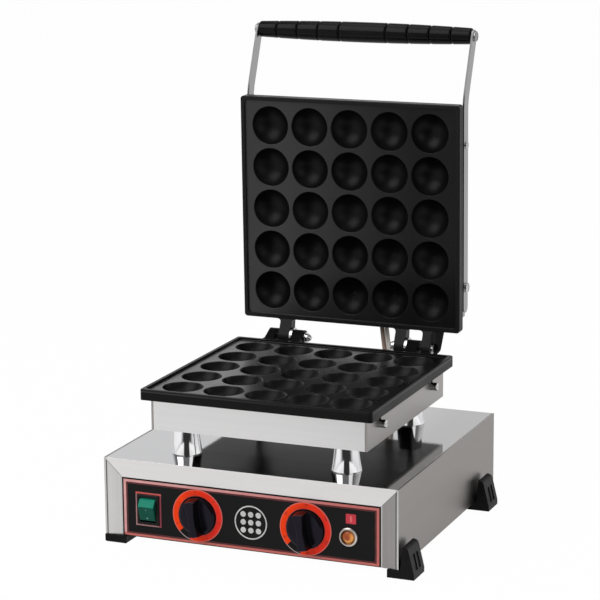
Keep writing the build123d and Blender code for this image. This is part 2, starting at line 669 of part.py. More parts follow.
def housing(on_legs):
    """Floor, front and rear wall of a baking unit's housing, folded from one sheet."""
    half = HOUSING_HALF - SIDE_HEM - SEAM
    with BuildPart() as tray:
        with BuildSketch(Plane.YZ.offset(-half)):
            with Locations((HOUSING_Y, HOUSING_Z)):
                Rectangle(HOUSING_D, HOUSING_H, align=(Align.CENTER, Align.MIN))
            with Locations((HOUSING_Y, HOUSING_Z + SHEET)):
                inner_d = HOUSING_D - 2 * SHEET
                Rectangle(inner_d, HOUSING_H, align=(Align.CENTER, Align.MIN), mode=Mode.SUBTRACT)
        extrude(amount=2 * half)
        if on_legs:
            with Locations([(x, y, HOUSING_Z + SHEET) for x, y in legs]):
                Hole(TUBE_R + HOLE_GAP, depth=2 * SHEET)
        else:
            with BuildSketch(Plane.XZ.offset(-(HOUSING_Y + HOUSING_D / 2))):
                with Locations((-LEAD_LID_X - LEAD_SPACING / 2, FACE_Z - LEAD_LID_V)):
                    SlotOverall(GROMMET_NECK_W + 2 * HOLE_GAP, GROMMET_NECK_L + 2 * HOLE_GAP)
            extrude(amount=2 * SHEET, mode=Mode.SUBTRACT)
    return tray.part


keep(housing(True), "lower_housing")
keep(turned_over(housing(False)), "upper_housing")

# Side sheets of the housings, hemmed like the cabinet's, each with two notches for its screws
screw_spots = [(REAR_WALL - w, FACE_Z - SCREW_V) for w in SCREW_W]
with BuildPart() as housing_side_right:
    with BuildSketch(Plane.YZ.offset(HOUSING_HALF - SIDE_HEM)):
        with Locations((HOUSING_Y, HOUSING_Z)):
            Rectangle(HOUSING_D, HOUSING_H, align=(Align.CENTER, Align.MIN))
    extrude(amount=SIDE_HEM)
    with BuildSketch(Plane.YZ.offset(HOUSING_HALF - SIDE_HEM)):
        with Locations((HOUSING_Y, HOUSING_Z + HOUSING_H / 2)):
            Rectangle(HOUSING_D - 2 * HEM_W, HOUSING_H - HEM_W)
    extrude(amount=SIDE_HEM - SIDE_SHEET, mode=Mode.SUBTRACT)
    with BuildSketch(Plane.YZ.offset(HOUSING_HALF - SIDE_HEM)):
        with Locations(screw_spots):
            Circle(NOTCH_W / 2)
            Rectangle(NOTCH_W, SCREW_V, align=(Align.CENTER, Align.MIN))
    extrude(amount=SIDE_HEM, mode=Mode.SUBTRACT)
with BuildPart() as housing_side_left:
    mirror(housing_side_right.part, about=Plane.YZ)
keep(housing_side_right.part, "lower_housing_side_right")
keep(housing_side_left.part, "lower_housing_side_left")
keep(turned_over(housing_side_left.part), "upper_housing_side_right")
keep(turned_over(housing_side_right.part), "upper_housing_side_left")


def lug_side():
    """Side view of a hinge lug: the eye and the web that tapers from the plate's rear wall to it."""
    with BuildSketch() as view:
        with Locations((HINGE_Y, HINGE_Z)):
            Circle(EYE_R)
        with Locations((REAR_WALL, PLATE_Z + LUG_WEB_LOW)):
            root_h = PLATE_T - LUG_WEB_LOW - LUG_WEB_TOP
            Rectangle(2 * SEAM, root_h, align=(Align.CENTER, Align.MIN))
        make_hull()
    return view.sketch


def lug(x0, x1):
    """One hinge lug, with concave roots where it meets the plate's rear wall."""
    with BuildPart() as piece:
        with BuildSketch(Plane.YZ.offset(x0 - LUG_ROOT_R)):
            add(lug_side())
        extrude(amount=x1 - x0 + 2 * LUG_ROOT_R)
        with BuildSketch(Plane.XY.offset(PLATE_Z)):
            with Locations(((x0 + x1) / 2, REAR_WALL - SEAM)):
                Rectangle(x1 - x0 + 2 * LUG_ROOT_R, LUG_ROOT_R + SEAM, align=(Align.CENTER, Align.MIN))
            with Locations([(x, REAR_WALL + LUG_ROOT_R) for x in (x0 - LUG_ROOT_R, x1 + LUG_ROOT_R)]):
                Circle(LUG_ROOT_R, mode=Mode.SUBTRACT)
            with Locations(((x0 + x1) / 2, REAR_WALL - SEAM)):
                Rectangle(x1 - x0, HINGE_BACK + 2 * EYE_R, align=(Align.CENTER, Align.MIN))
        extrude(amount=2 * PLATE_T, mode=Mode.INTERSECT)
    return piece.part


def lug_flare(x):
    """Gusset that spreads the outermost lug towards its foot."""
    with BuildPart() as piece:
        with BuildSketch(Plane.YZ.offset(x - LUG_FLARE)):
            add(lug_side())
        extrude(amount=LUG_FLARE)
        with BuildSketch(Plane.XZ.offset(-REAR_WALL + SEAM)):
            Polygon((x, PLATE_Z), (x, FACE_Z), (x - LUG_FLARE, PLATE_Z), align=None)
        extrude(amount=-HINGE_BACK - EYE_R, mode=Mode.INTERSECT)
        with Locations(sideways(x, HINGE_Y, HINGE_Z, -1)):
            Cylinder(PIN_HEAD_R + HOLE_GAP, LUG_FLARE, align=FLAT, mode=Mode.SUBTRACT)
    return piece.part


# Baking plate: rim, recessed field with the cups, block below, screw bosses, posts and hinge lugs
with BuildPart() as plate:
    with BuildSketch(Plane.XY.offset(PLATE_Z)):
        with Locations((0, PLATE_Y)):
            RectangleRounded(PLATE_W, PLATE_D, PLATE_CORNER_R)
    extrude(amount=PLATE_T)
    chamfer(plate.faces().sort_by(Axis.Z)[-1].edges(), length=PLATE_EDGE)
    with BuildSketch(Plane.XY.offset(FIELD_Z)):
        with Locations((0, PLATE_Y)):
            RectangleRounded(PLATE_W - 2 * RIM_W, PLATE_D - 2 * RIM_W, RIM_CORNER_R)
    extrude(amount=RIM_H, mode=Mode.SUBTRACT)
    with BuildSketch(Plane.XY.offset(BLOCK_Z)):
        with Locations((0, PLATE_Y)):
            Rectangle(2 * BLOCK_HALF_X, 2 * BLOCK_HALF_Y)
    extrude(amount=PLATE_Z - BLOCK_Z)
    boss_end = HOUSING_HALF - SIDE_HEM - SEAT
    for side in (-1, 1):
        with BuildSketch(Plane.YZ.offset(side * boss_end)):
            for y, z in screw_spots:
                with Locations((y, z)):
                    Circle(BOSS_R)
                with Locations((y, z)):
                    Rectangle(2 * BOSS_R, PLATE_Z - z, align=(Align.CENTER, Align.MIN))
        extrude(amount=-side * BOSS_L)
    with Locations([(x, PLATE_Y + y, BLOCK_Z) for x in (-POST_X, POST_X) for y in (-POST_Y, POST_Y)]):
        Cylinder(POST_R, BLOCK_Z - CLAMP_Z, align=(Align.CENTER, Align.CENTER, Align.MAX))
        post_l = BLOCK_Z - CLAMP_Z + CLAMP_T + SHEET
        Cylinder(POST_TIP_R, post_l, align=(Align.CENTER, Align.CENTER, Align.MAX))
    for x0, x1 in LUGS:
        add(lug(x0, x1))
    add(lug_flare(LUGS[0][0]))
    with Locations(Plane(origin=(0, HINGE_Y, HINGE_Z), z_dir=(1, 0, 0))):
        Cylinder(PIN_R + PIN_FIT, PLATE_W, mode=Mode.SUBTRACT)
    with Locations([sideways(side * boss_end, y, z, side) for side in (-1, 1) for y, z in screw_spots]):
        Hole(M5_R + FIT, depth=SCREW_BITE)
    bulb_mouth = (BULB_X, BLOCK_BACK, PLATE_Z - BULB_DROP)
    with Locations(Plane(origin=bulb_mouth, z_dir=(0, 1, 0))):
        Hole(BULB_R + SEAT, depth=BULB_L + SHEET)
    with Locations((0, PLATE_Y, CUP_CENTRE_Z)):
        with GridLocations(CUP_PITCH, CUP_PITCH, CUP_ROWS, CUP_ROWS):
            rise = degrees(asin((FIELD_Z + RIM_H / 2 - CUP_CENTRE_Z) / CUP_SPHERE_R))
            Sphere(CUP_SPHERE_R, arc_size1=-90, arc_size2=rise, align=None, mode=Mode.SUBTRACT)
keep(plate.part, "lower_plate")
keep(turned_over(plate.part), "upper_plate")

# Hinge pins with their heads outside, dome nuts inside and thrust washers between the lugs
eye_in = -LUGS[1][1]
eye_out = -LUGS[0][0]
with BuildPart() as hinge_pins:
    for side in (-1, 1):
        with Locations(sideways(side * (eye_in - NUT_WASHER_T - DOME_L / 2), HINGE_Y, HINGE_Z, side)):
            pin_l = eye_out - eye_in + NUT_WASHER_T + DOME_L / 2 + PIN_END_GAP
            Cylinder(PIN_R, pin_l, align=FLAT)
        with Locations(sideways(side * (eye_out + PIN_END_GAP), HINGE_Y, HINGE_Z, side)):
            Cone(PIN_HEAD_R, PIN_HEAD_R - PIN_HEAD_H / 2, PIN_HEAD_H, align=FLAT)
keep(hinge_pins.part, "hinge_pins")

with BuildPart() as hinge_nuts:
    for side in (-1, 1):
        nut_face = eye_in - PIN_END_GAP
        with Locations(sideways(side * nut_face, HINGE_Y, HINGE_Z, -side)):
            Cylinder(NUT_WASHER_R, NUT_WASHER_T - PIN_END_GAP, align=FLAT)
        barrel = DOME_L - DOME_R
        with Locations(sideways(side * (eye_in - NUT_WASHER_T), HINGE_Y, HINGE_Z, -side)):
            Cylinder(DOME_R + SHEET / 2, barrel, align=FLAT)
        with Locations(sideways(side * (eye_in - NUT_WASHER_T - barrel), HINGE_Y, HINGE_Z, -side)):
            Sphere(DOME_R, arc_size1=0, align=None)
        with Locations(sideways(side * nut_face, HINGE_Y, HINGE_Z, -side)):
            Cylinder(PIN_R + FIT, NUT_WASHER_T + DOME_L / 2, align=FLAT, mode=Mode.SUBTRACT)
keep(hinge_nuts.part, "hinge_nuts")

with BuildPart() as hinge_washers:
    washer_x = (LUGS[2][0] - LUGS[1][0]) / 2
    washer_t = LUGS[2][0] + LUGS[1][0] - 2 * THRUST_GAP
    for x in (-washer_x, washer_x):
        with Locations(Plane(origin=(x, HINGE_Y, HINGE_Z), z_dir=(1, 0, 0))):
            Cylinder(THRUST_WASHER_R, washer_t)
            Cylinder(PIN_R + FIT, washer_t, mode=Mode.SUBTRACT)
keep(hinge_washers.part, "hinge_washers")

# Heating element under the plate: one tube folded into four runs
with BuildPart() as element:
    run = ELEMENT_X / 3
    with BuildLine() as route:
        FilletPolyline(
            (-ELEMENT_X, ELEMENT_END_Y, ELEMENT_Z),
            (-ELEMENT_X, ELEMENT_FRONT_Y, ELEMENT_Z),
            (-run, ELEMENT_FRONT_Y, ELEMENT_Z),
            (-run, ELEMENT_BACK_Y, ELEMENT_Z),
            (run, ELEMENT_BACK_Y, ELEMENT_Z),
            (run, ELEMENT_FRONT_Y, ELEMENT_Z),
            (ELEMENT_X, ELEMENT_FRONT_Y, ELEMENT_Z),
            (ELEMENT_X, ELEMENT_END_Y, ELEMENT_Z),
            radius=ELEMENT_BEND_R,
        )
    with BuildSketch(Plane(origin=route.wire() @ 0, z_dir=route.wire() % 0)):
        Circle(ELEMENT_R)
    sweep()
keep(element.part, "lower_element")
keep(turned_over(element.part), "upper_element")

# Plate that clamps the element, held on the casting's four posts
with BuildPart() as clamp:
    with BuildSketch(Plane.XY.offset(CLAMP_Z - CLAMP_T)):
        with Locations((0, PLATE_Y)):
            RectangleRounded(CLAMP_W, CLAMP_D, CLAMP_CORNER_R)
            with GridLocations(2 * POST_X, 2 * POST_Y, 2, 2):
                Circle(POST_TIP_R + HOLE_GAP, mode=Mode.SUBTRACT)
    extrude(amount=CLAMP_T)
keep(clamp.part, "lower_element_clamp")
keep(turned_over(clamp.part), "upper_element_clamp")

# Insulation on the housing's floor
with BuildPart() as insulation:
    with BuildSketch(Plane.XY.offset(HOUSING_Z + SHEET)):
        with Locations((0, HOUSING_Y)):
            RectangleRounded(INSULATION_W, INSULATION_D, INSULATION_CORNER_R)
    extrude(amount=INSULATION_T)
keep(insulation.part, "lower_insulation")
keep(turned_over(insulation.part), "upper_insulation")

# Thermostat feeler in the lower plate, with its capillary down a leg tube to the thermostat
bulb_z = PLATE_Z - BULB_DROP
capillary_y = BLOCK_BACK + CAPILLARY_GAP + CAPILLARY_R
with BuildPart() as thermostat_feeler:
    with Locations(Plane(origin=(BULB_X, BLOCK_BACK - BULB_L, bulb_z), z_dir=(0, 1, 0))):
        Cylinder(BULB_R, BULB_L, align=FLAT)
    with BuildLine() as capillary:
        high_z = HOUSING_Z + CAPILLARY_HIGH
        FilletPolyline(
            (BULB_X, BLOCK_BACK - BULB_R, bulb_z),
            (BULB_X, capillary_y, bulb_z),
            (LEG_X, capillary_y, high_z),
            (LEG_X, LEG_REAR_Y, high_z),
            (LEG_X, LEG_REAR_Y, CAPILLARY_LOW_Z),
            (regulator_x, PANEL_BACK + REGULATOR_D + CAPILLARY_LEAD_IN, DIAL_Z),
            (regulator_x, PANEL_BACK + REGULATOR_D + SEAT, DIAL_Z),
            radius=CAPILLARY_BEND_R,
        )
    with BuildSketch(Plane(origin=capillary.wire() @ 0, z_dir=capillary.wire() % 0)):
        Circle(CAPILLARY_R)
    sweep()
keep(thermostat_feeler.part, "thermostat_feeler")


def pan_head(plane, radius, height):
    """Slotted pan head that stands on a plane."""
    with BuildPart() as head:
        with BuildSketch(plane):
            Circle(radius)
        extrude(amount=height)
        top = head.faces().filter_by(GeomType.PLANE).sort_by(Axis(plane.origin, plane.z_dir))[-1]
        fillet(top.edges(), radius=height / 2)
        with BuildSketch(plane.offset(height)):
            Rectangle(2 * radius, SCREW_SLOT_W)
        extrude(amount=-SCREW_SLOT_T, mode=Mode.SUBTRACT)
    return head.part


# Side screws of the lower unit, each standing off on its sleeve
with BuildPart() as lower_side_screws:
    for side in (-1, 1):
        for y, z in screw_spots:
            shank_l = SCREW_BITE + SIDE_HEM + SEAT + SLEEVE_L - 2 * SEAT
            with Locations(sideways(side * (HOUSING_HALF + SLEEVE_L - shank_l), y, z, side)):
                Cylinder(M5_R, shank_l, align=FLAT)
            with Locations(sideways(side * HOUSING_HALF, y, z, side)):
                Cylinder(SLEEVE_R, SLEEVE_L, align=FLAT)
            add(pan_head(sideways(side * (HOUSING_HALF + SLEEVE_L), y, z, side), SLEEVE_R, SIDE_HEAD_H))
keep(lower_side_screws.part, "lower_side_screws")

# Handle arms: flat strips with round ends and one bend, made on the closed lid
arm_z = LID_FACE_Z + SCREW_V
rise_z = GRIP_V - SCREW_V
lean = degrees(asin(rise_z / hypot(rise_z, GRIP_W - ARM_BEND_W)))
tangent = ARM_BEND_R * tan(radians(lean / 2))


def on_lid(w, v):
    """Point in the side view of the closed lid: w from its hinge edge, v from its face."""
    return (REAR_WALL - w, LID_FACE_Z + v)


bend_start = on_lid(ARM_BEND_W - tangent, SCREW_V)
bend_end = on_lid(ARM_BEND_W + tangent * cos(radians(lean)), SCREW_V + tangent * sin(radians(lean)))
lid_screws = [on_lid(w, SCREW_V) for w in SCREW_W]
grip_spot = on_lid(GRIP_W, GRIP_V)
for name, side in (("handle_arm_left", -1), ("handle_arm_right", 1)):
    with BuildPart() as arm:
        with BuildSketch(Plane.YZ.offset(side * (ARM_IN + ARM_T / 2) - ARM_T / 2)):
            with BuildLine() as strip:
                lower_run = Line(on_lid(ARM_START_W + ARM_WIDTH / 2, SCREW_V), bend_start)
                bend = TangentArc(bend_start, bend_end, tangent=lower_run % 1)
                Line(bend_end, grip_spot)
                offset(amount=ARM_WIDTH / 2, side=Side.BOTH)
            make_face()
            with Locations(lid_screws):
                Circle(M5_R + HOLE_GAP, mode=Mode.SUBTRACT)
            with Locations(grip_spot):
                Circle(ROD_R + HOLE_GAP, mode=Mode.SUBTRACT)
        extrude(amount=ARM_T)
    keep(opened(arm.part), name)

with BuildPart() as arm_spacers:
    for side in (-1, 1):
        for y, z in lid_screws:
            with Locations(sideways(side * HOUSING_HALF, y, z, side)):
                Cylinder(SLEEVE_R, ARM_IN - HOUSING_HALF, align=FLAT)
                Cylinder(M5_R + HOLE_GAP, ARM_IN - HOUSING_HALF, align=FLAT, mode=Mode.SUBTRACT)
keep(opened(arm_spacers.part), "arm_spacers")

with BuildPart() as arm_screws:
    arm_out = ARM_IN + ARM_T
    for side in (-1, 1):
        for (y, z), head_r, head_h in zip(lid_screws, ARM_HEAD_R, ARM_HEAD_H):
            shank_l = arm_out - boss_end + SCREW_BITE - SEAT
            with Locations(sideways(side * (arm_out - shank_l), y, z, side)):
                Cylinder(M5_R, shank_l, align=FLAT)
            add(pan_head(sideways(side * arm_out, y, z, side), head_r, head_h))
keep(opened(arm_screws.part), "arm_screws")

# Grip: a turned barrel, thickest in the middle, with round shoulders at its grooves and ends
grip_half = ARM_IN - GRIP_GAP


def barrel_r(x):
    """Radius of the grip's barrel at x."""
    return GRIP_MID_R - (GRIP_MID_R - GRIP_END_R) * (x / grip_half) ** 2


with BuildPart() as handle_grip:
    grip_y, grip_z = grip_spot
    cuts = sorted([side * (ARM_IN - g) for g in GROOVES for side in (-1, 1)])
    with BuildSketch(Plane(origin=(0, grip_y, grip_z), x_dir=(1, 0, 0), z_dir=(0, -1, 0))):
        with BuildLine():
            bore = ROD_R + HOLE_GAP
            round_x = grip_half - GRIP_END_ROUND
            low_r = barrel_r(round_x) - GRIP_END_ROUND
            here = (-round_x, barrel_r(round_x))
            Line((-grip_half, bore), (-grip_half, low_r))
            TangentArc(here, (-grip_half, low_r), tangent=(-1, 0))
            for cut in cuts:
                left, right = cut - GROOVE_HALF, cut + GROOVE_HALF
                bottom = (cut, barrel_r(cut) - GROOVE_DEPTH)
                middle = (here[0] + left) / 2
                ThreePointArc(here, (middle, barrel_r(middle)), (left, barrel_r(left)))
                TangentArc((left, barrel_r(left)), bottom, tangent=(1, 0))
                TangentArc((right, barrel_r(right)), bottom, tangent=(-1, 0))
                here = (right, barrel_r(right))
            middle = (here[0] + round_x) / 2
            ThreePointArc(here, (middle, barrel_r(middle)), (round_x, barrel_r(round_x)))
            TangentArc((round_x, barrel_r(round_x)), (grip_half, low_r), tangent=(1, 0))
            Line((grip_half, low_r), (grip_half, bore))
            Line((grip_half, bore), (-grip_half, bore))
        make_face()
    revolve(axis=Axis((0, grip_y, grip_z), (1, 0, 0)))
keep(opened(handle_grip.part), "handle_grip")

with BuildPart() as handle_rod:
    with Locations(Plane(origin=(0, grip_y, grip_z), z_dir=(1, 0, 0))):
        Cylinder(ROD_R, 2 * arm_out)
    for side in (-1, 1):
        add(pan_head(sideways(side * arm_out, grip_y, grip_z, side), ROD_HEAD_R, ROD_HEAD_H))
keep(opened(handle_rod.part), "handle_rod")

# Grommets where the two leads leave the cabinet and enter the lid
with BuildPart() as lead_grommet_base:
    with BuildSketch(Plane.XY.offset(TOP_Z)):
        with Locations((LEAD_BASE_X + LEAD_SPACING / 2, LEAD_BASE_Y)):
            SlotOverall(GROMMET_W, GROMMET_L)
    extrude(amount=GROMMET_T)
    with BuildSketch(Plane.XY.offset(TOP_Z)):
        with Locations((LEAD_BASE_X + LEAD_SPACING / 2, LEAD_BASE_Y)):
            SlotOverall(GROMMET_NECK_W, GROMMET_NECK_L)
    extrude(amount=-GROMMET_NECK)
keep(lead_grommet_base.part, "lead_grommet_base")

lid_end = HOUSING_Y + HOUSING_D / 2
lid_lead_z = LID_FACE_Z + LEAD_LID_V
with BuildPart() as lead_grommet_lid:
    with BuildSketch(Plane.XZ.offset(-lid_end)):
        with Locations((LEAD_LID_X + LEAD_SPACING / 2, lid_lead_z)):
            SlotOverall(GROMMET_W, GROMMET_L)
    extrude(amount=-GROMMET_T)
    with BuildSketch(Plane.XZ.offset(-lid_end)):
        with Locations((LEAD_LID_X + LEAD_SPACING / 2, lid_lead_z)):
            SlotOverall(GROMMET_NECK_W, GROMMET_NECK_L)
    extrude(amount=GROMMET_NECK)
keep(opened(lead_grommet_lid.part), "lead_grommet_lid")

# Two sleeved leads, straight runs joined by arcs as large as the runs allow
lid_entry = Vertex(0, lid_end + GROMMET_T, lid_lead_z).rotate(HINGE, -OPEN_ANGLE)
lead_parts = []
for k in (0, 1):
    shift = k * LEAD_SPACING
    route_points = [Vector(LEAD_BASE_X + shift, LEAD_BASE_Y, TOP_Z + GROMMET_T)]
    route_points += [route_points[0] + Vector(*step) for step in LEAD_POINTS]
    route_points.append(Vector(LEAD_LID_X + shift, lid_entry.Y, lid_entry.Z))
    radii = []
    for before, corner, after in zip(route_points, route_points[1:], route_points[2:]):
        turn = (corner - before).get_angle(after - corner)
        shorter = min((corner - before).length, (after - corner).length)
        radii.append(LEAD_ROUNDING * shorter / tan(radians(turn / 2)))
    print("lead", k, "radii", [round(r, 1) for r in radii])
    with BuildPart() as lead:
        with BuildLine() as route:
            FilletPolyline(*route_points, radius=radii)
        with BuildSketch(Plane(origin=route.wire() @ 0, z_dir=(0, 0, 1))):
            Circle(LEAD_R)
        sweep()
    expected = Circle(LEAD_R).area * route.wire().length
    print("lead", k, "volume", lead.part.volume, "section times length", expected)
    lead_parts.append(lead.part)
keep(Compound(children=lead_parts), "lid_leads")

# Mains gland in the rear panel and the terminal block behind it
with BuildPart() as cable_gland:
    with BuildSketch(Plane.XZ.offset(-REAR_FACE)):
        with Locations((GLAND_X, GLAND_Z)):
            RegularPolygon(GLAND_NUT_R, HEX)
    extrude(amount=-GLAND_NUT_H)
    with Locations(Plane(origin=(GLAND_X, REAR_FACE + GLAND_NUT_H, GLAND_Z), z_dir=(0, 1, 0))):
        Cone(GLAND_CAP_R, GLAND_CAP_R - SIDE_HEM, GLAND_CAP_L, align=FLAT)
    with Locations(Plane(origin=(GLAND_X, REAR_FACE - GLAND_INSIDE, GLAND_Z), z_dir=(0, 1, 0))):
        Cylinder(GLAND_THREAD_R, GLAND_INSIDE, align=FLAT)
    with BuildSketch(Plane.XZ.offset(-(REAR_FACE - SHEET))):
        with Locations((GLAND_X, GLAND_Z)):
            RegularPolygon(GLAND_NUT_R, HEX)
    extrude(amount=GLAND_NUT_H)
    with Locations(Plane(origin=(GLAND_X, REAR_FACE - GLAND_INSIDE, GLAND_Z), z_dir=(0, 1, 0))):
        gland_l = GLAND_INSIDE + GLAND_NUT_H + GLAND_CAP_L
        Cylinder(GLAND_BORE_R, gland_l, align=FLAT, mode=Mode.SUBTRACT)
keep(cable_gland.part, "cable_gland")

with BuildPart() as terminal_block:
    with BuildSketch(Plane.XY.offset(COVER_TOP)):
        with Locations((TERMINAL_X, TERMINAL_Y)):
            Rectangle(TERMINAL_W, TERMINAL_D)
    extrude(amount=TERMINAL_H)
    with Locations((TERMINAL_X, TERMINAL_Y, COVER_TOP + TERMINAL_H)):
        with GridLocations(TERMINAL_W / TERMINAL_WAYS, TERMINAL_D / 2, TERMINAL_WAYS, 2):
            Hole(TERMINAL_HOLE_R, depth=TERMINAL_H / 2)
keep(terminal_block.part, "terminal_block")
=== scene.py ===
import math

import bmesh
import bpy
from mathutils import Matrix, Vector


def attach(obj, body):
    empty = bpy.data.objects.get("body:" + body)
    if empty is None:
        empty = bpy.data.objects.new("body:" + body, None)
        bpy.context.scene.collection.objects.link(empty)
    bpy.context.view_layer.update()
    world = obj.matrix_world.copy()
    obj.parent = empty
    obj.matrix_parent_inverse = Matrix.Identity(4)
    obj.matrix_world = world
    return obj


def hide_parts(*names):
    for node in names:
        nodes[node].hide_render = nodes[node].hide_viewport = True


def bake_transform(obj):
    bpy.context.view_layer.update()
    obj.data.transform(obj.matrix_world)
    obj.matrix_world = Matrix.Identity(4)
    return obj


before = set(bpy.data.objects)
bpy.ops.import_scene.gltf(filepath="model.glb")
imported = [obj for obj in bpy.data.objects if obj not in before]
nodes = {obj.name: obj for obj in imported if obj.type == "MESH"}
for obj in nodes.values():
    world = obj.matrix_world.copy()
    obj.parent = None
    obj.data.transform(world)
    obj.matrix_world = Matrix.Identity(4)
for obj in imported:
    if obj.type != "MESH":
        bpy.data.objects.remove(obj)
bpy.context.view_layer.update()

MM = 0.001

# Places and sizes on the control panel, in millimetres
DIAL_LEFT_X = -55.9
DIAL_RIGHT_X = 60.8
DIAL_Z = 38.0
TICK_R = 21.1
TICK_LONG = 1.5
TICK_SHORT = 0.9
TICK_HALF_W = 0.16
NUMBER_R = 24.7
NUMBER_H = 3.0
LAMP_X = 106.0
LAMP_Z = 35.2
PICTURE_X = 2.0
PICTURE_Z = 37.5
PICTURE_R = 17.5
PICTURE_INNER_R = 16.2
BUBBLE_R = 2.9
BUBBLE_PITCH = 8.2

# Where the colour changes, counted from the middle of a dial or of the lamp
DIAL_HEM = (21.0 * MM, 21.3 * MM)
DIAL_RIM = (26.3 * MM, 26.6 * MM)
LENS_RIM = (1.6 * MM, 4.2 * MM)
BEZEL_SLOPE = (7.4 * MM, 8.4 * MM)

# The panel's face, the thickness of its prints and the height of a dial ring over the panel
PANEL_Y = -147.5 * MM
PRINT_T = 0.12 * MM
RING_T = 0.6 * MM

# The cabinet's front frame: all of its sheet in front of this depth, then the inner edge and the width of the
# upright stiles at both sides and of the rail along the top
FRAME_Y = -147.0 * MM
STILE_X = 139.7 * MM
STILE_W = 18.8 * MM
RAIL_Z = 69.6 * MM
RAIL_H = 19.4 * MM

# The flats between the cups: how far they lie from the origin, and how far the open lid leans forward
FIELD_BASE = 156.8 * MM
FIELD_LID = 135.66 * MM
LID_LEAN = math.radians(1.0)

# The rocker's pivot, and from there its radius (mm), the lower end of its lower face and its ridge
ROCKER_PIVOT = Vector((-110.5, -143.5, 38.2)) * MM
ROCKER_R = 12.6
ROCKER_LOW_Y = -6.2
ROCKER_LOW = Vector((0, ROCKER_LOW_Y, -math.sqrt(ROCKER_R**2 - ROCKER_LOW_Y**2))) * MM
ROCKER_RIDGE = Vector((0, -11.4, 4.2)) * MM

# The camera of the photograph
CAMERA_AZIMUTH = math.radians(22.506)
CAMERA_ELEVATION = math.radians(12.563)
CAMERA_ROLL = math.radians(-0.432)
CAMERA_LENS = 140.08
CAMERA_AT = Vector((894.82, -2170.54, 755.91)) * MM


# Shader helpers

def put(tree, kind, inputs=None, **props):
    """Add a shader node; inputs are numbers, colours or sockets to link."""
    n = tree.nodes.new("ShaderNode" + kind)
    for key, value in props.items():
        setattr(n, key, value)
    for key, value in (inputs or {}).items():
        if isinstance(value, bpy.types.NodeSocket):
            tree.links.new(value, n.inputs[key])
        else:
            n.inputs[key].default_value = value
    return n


def new_material(name, **settings):
    """A material with one Principled shader. Returns it, its tree and the shader."""
    made = bpy.data.materials.new(name)
    made.use_nodes = True
    tree = made.node_tree
    tree.nodes.clear()
    shader = put(tree, "BsdfPrincipled", settings)
    put(tree, "OutputMaterial", {"Surface": shader.outputs[0]})
    return made, tree, shader


def principled(made):
    """The Principled shader of a material, after its tree."""
    tree = made.node_tree
    return tree, next(n for n in tree.nodes if n.type == "BSDF_PRINCIPLED")


def rgb(r, g, b):
    return (r, g, b, 1.0)


def grey(level):
    return rgb(level, level, level)


def place(tree, scale=(1, 1, 1)):
    """Position on the object in metres, scaled."""
    coords = put(tree, "TexCoord").outputs["Object"]
    return put(tree, "Mapping", {0: coords, "Scale": scale}).outputs[0]


def axes(tree):
    """The three coordinates of the position on the object."""
    return put(tree, "SeparateXYZ", {0: place(tree)}).outputs


def noise(tree, scale, detail=3.0, rough=0.5, stretch=(1, 1, 1)):
    """Fractal pattern from 0 to 1, stretched along the axes with the smaller numbers."""
    sockets = {"Vector": place(tree, stretch), "Scale": scale, "Detail": detail, "Roughness": rough}
    return put(tree, "TexNoise", sockets).outputs[0]


def spread(tree, value, low, high, start=0.3, end=0.7):
    """Map a pattern that runs from start to end to the range low..high."""
    sockets = {"Value": value, "From Min": start, "From Max": end, "To Min": low, "To Max": high}
    return put(tree, "MapRange", sockets).outputs[0]


def shade(tree, factor, a, b):
    """Colour between a and b."""
    return put(tree, "MixRGB", {0: factor, 1: a, 2: b}).outputs[0]


def between(tree, factor, a, b):
    """Number between a and b."""
    return put(tree, "Mix", {0: factor, 2: a, 3: b}, data_type="FLOAT").outputs[0]


def mottled(tree, pattern, low, high):
    """Colour that follows a pattern from low to high, each given as three numbers."""
    return shade(tree, spread(tree, pattern, 0, 1), rgb(*low), rgb(*high))


def math_node(tree, operation, a, b=0.0, clamp=False):
    return put(tree, "Math", {0: a, 1: b}, operation=operation, use_clamp=clamp).outputs[0]


def weighted(tree, *pairs):
    """Sum of values, each given with its weight."""
    total = math_node(tree, "MULTIPLY", *pairs[0])
    for value, weight in pairs[1:]:
        total = put(tree, "Math", {0: value, 1: weight, 2: total}, operation="MULTIPLY_ADD").outputs[0]
    return total


def facing(tree, axis, start, end):
    """How far the surface faces along an axis of the object: 0 up to start, 1 from end on."""
    normal = put(tree, "SeparateXYZ", {0: put(tree, "TexCoord").outputs["Normal"]}).outputs[axis]
    return spread(tree, normal, 0, 1, start, end)


def from_level(tree, direction, level):
    """Signed distance from the plane that lies at this distance along a direction."""
    sockets = {0: place(tree), 1: direction}
    along = put(tree, "VectorMath", sockets, operation="DOT_PRODUCT").outputs["Value"]
    return math_node(tree, "SUBTRACT", along, level)


def from_centre(tree, centre_x, centre_z):
    """Distances from a point of the panel, given in mm: across, up and straight, in metres."""
    x, _, z = axes(tree)
    across = math_node(tree, "SUBTRACT", x, centre_x * MM)
    up = math_node(tree, "SUBTRACT", z, centre_z * MM)
    squares = [math_node(tree, "MULTIPLY", part, part) for part in (across, up)]
    return across, up, math_node(tree, "SQRT", math_node(tree, "ADD", *squares))


def recolour(tree, shader, factor, colour):
    """Mix another colour over the shader's own."""
    own = shader.inputs["Base Color"].links[0].from_socket
    tree.links.new(shade(tree, factor, own, colour), shader.inputs["Base Color"])


def surface(tree, shader, height, strength, distance, round_r=0.0):
    """Give the shader a bump and, where it has a radius, rounded edges."""
    sockets = {"Height": height, "Strength": strength, "Distance": distance}
    if round_r:
        sockets["Normal"] = put(tree, "Bevel", {"Radius": round_r}, samples=6).outputs[0]
    tree.links.new(put(tree, "Bump", sockets).outputs[0], shader.inputs["Normal"])


# Metals

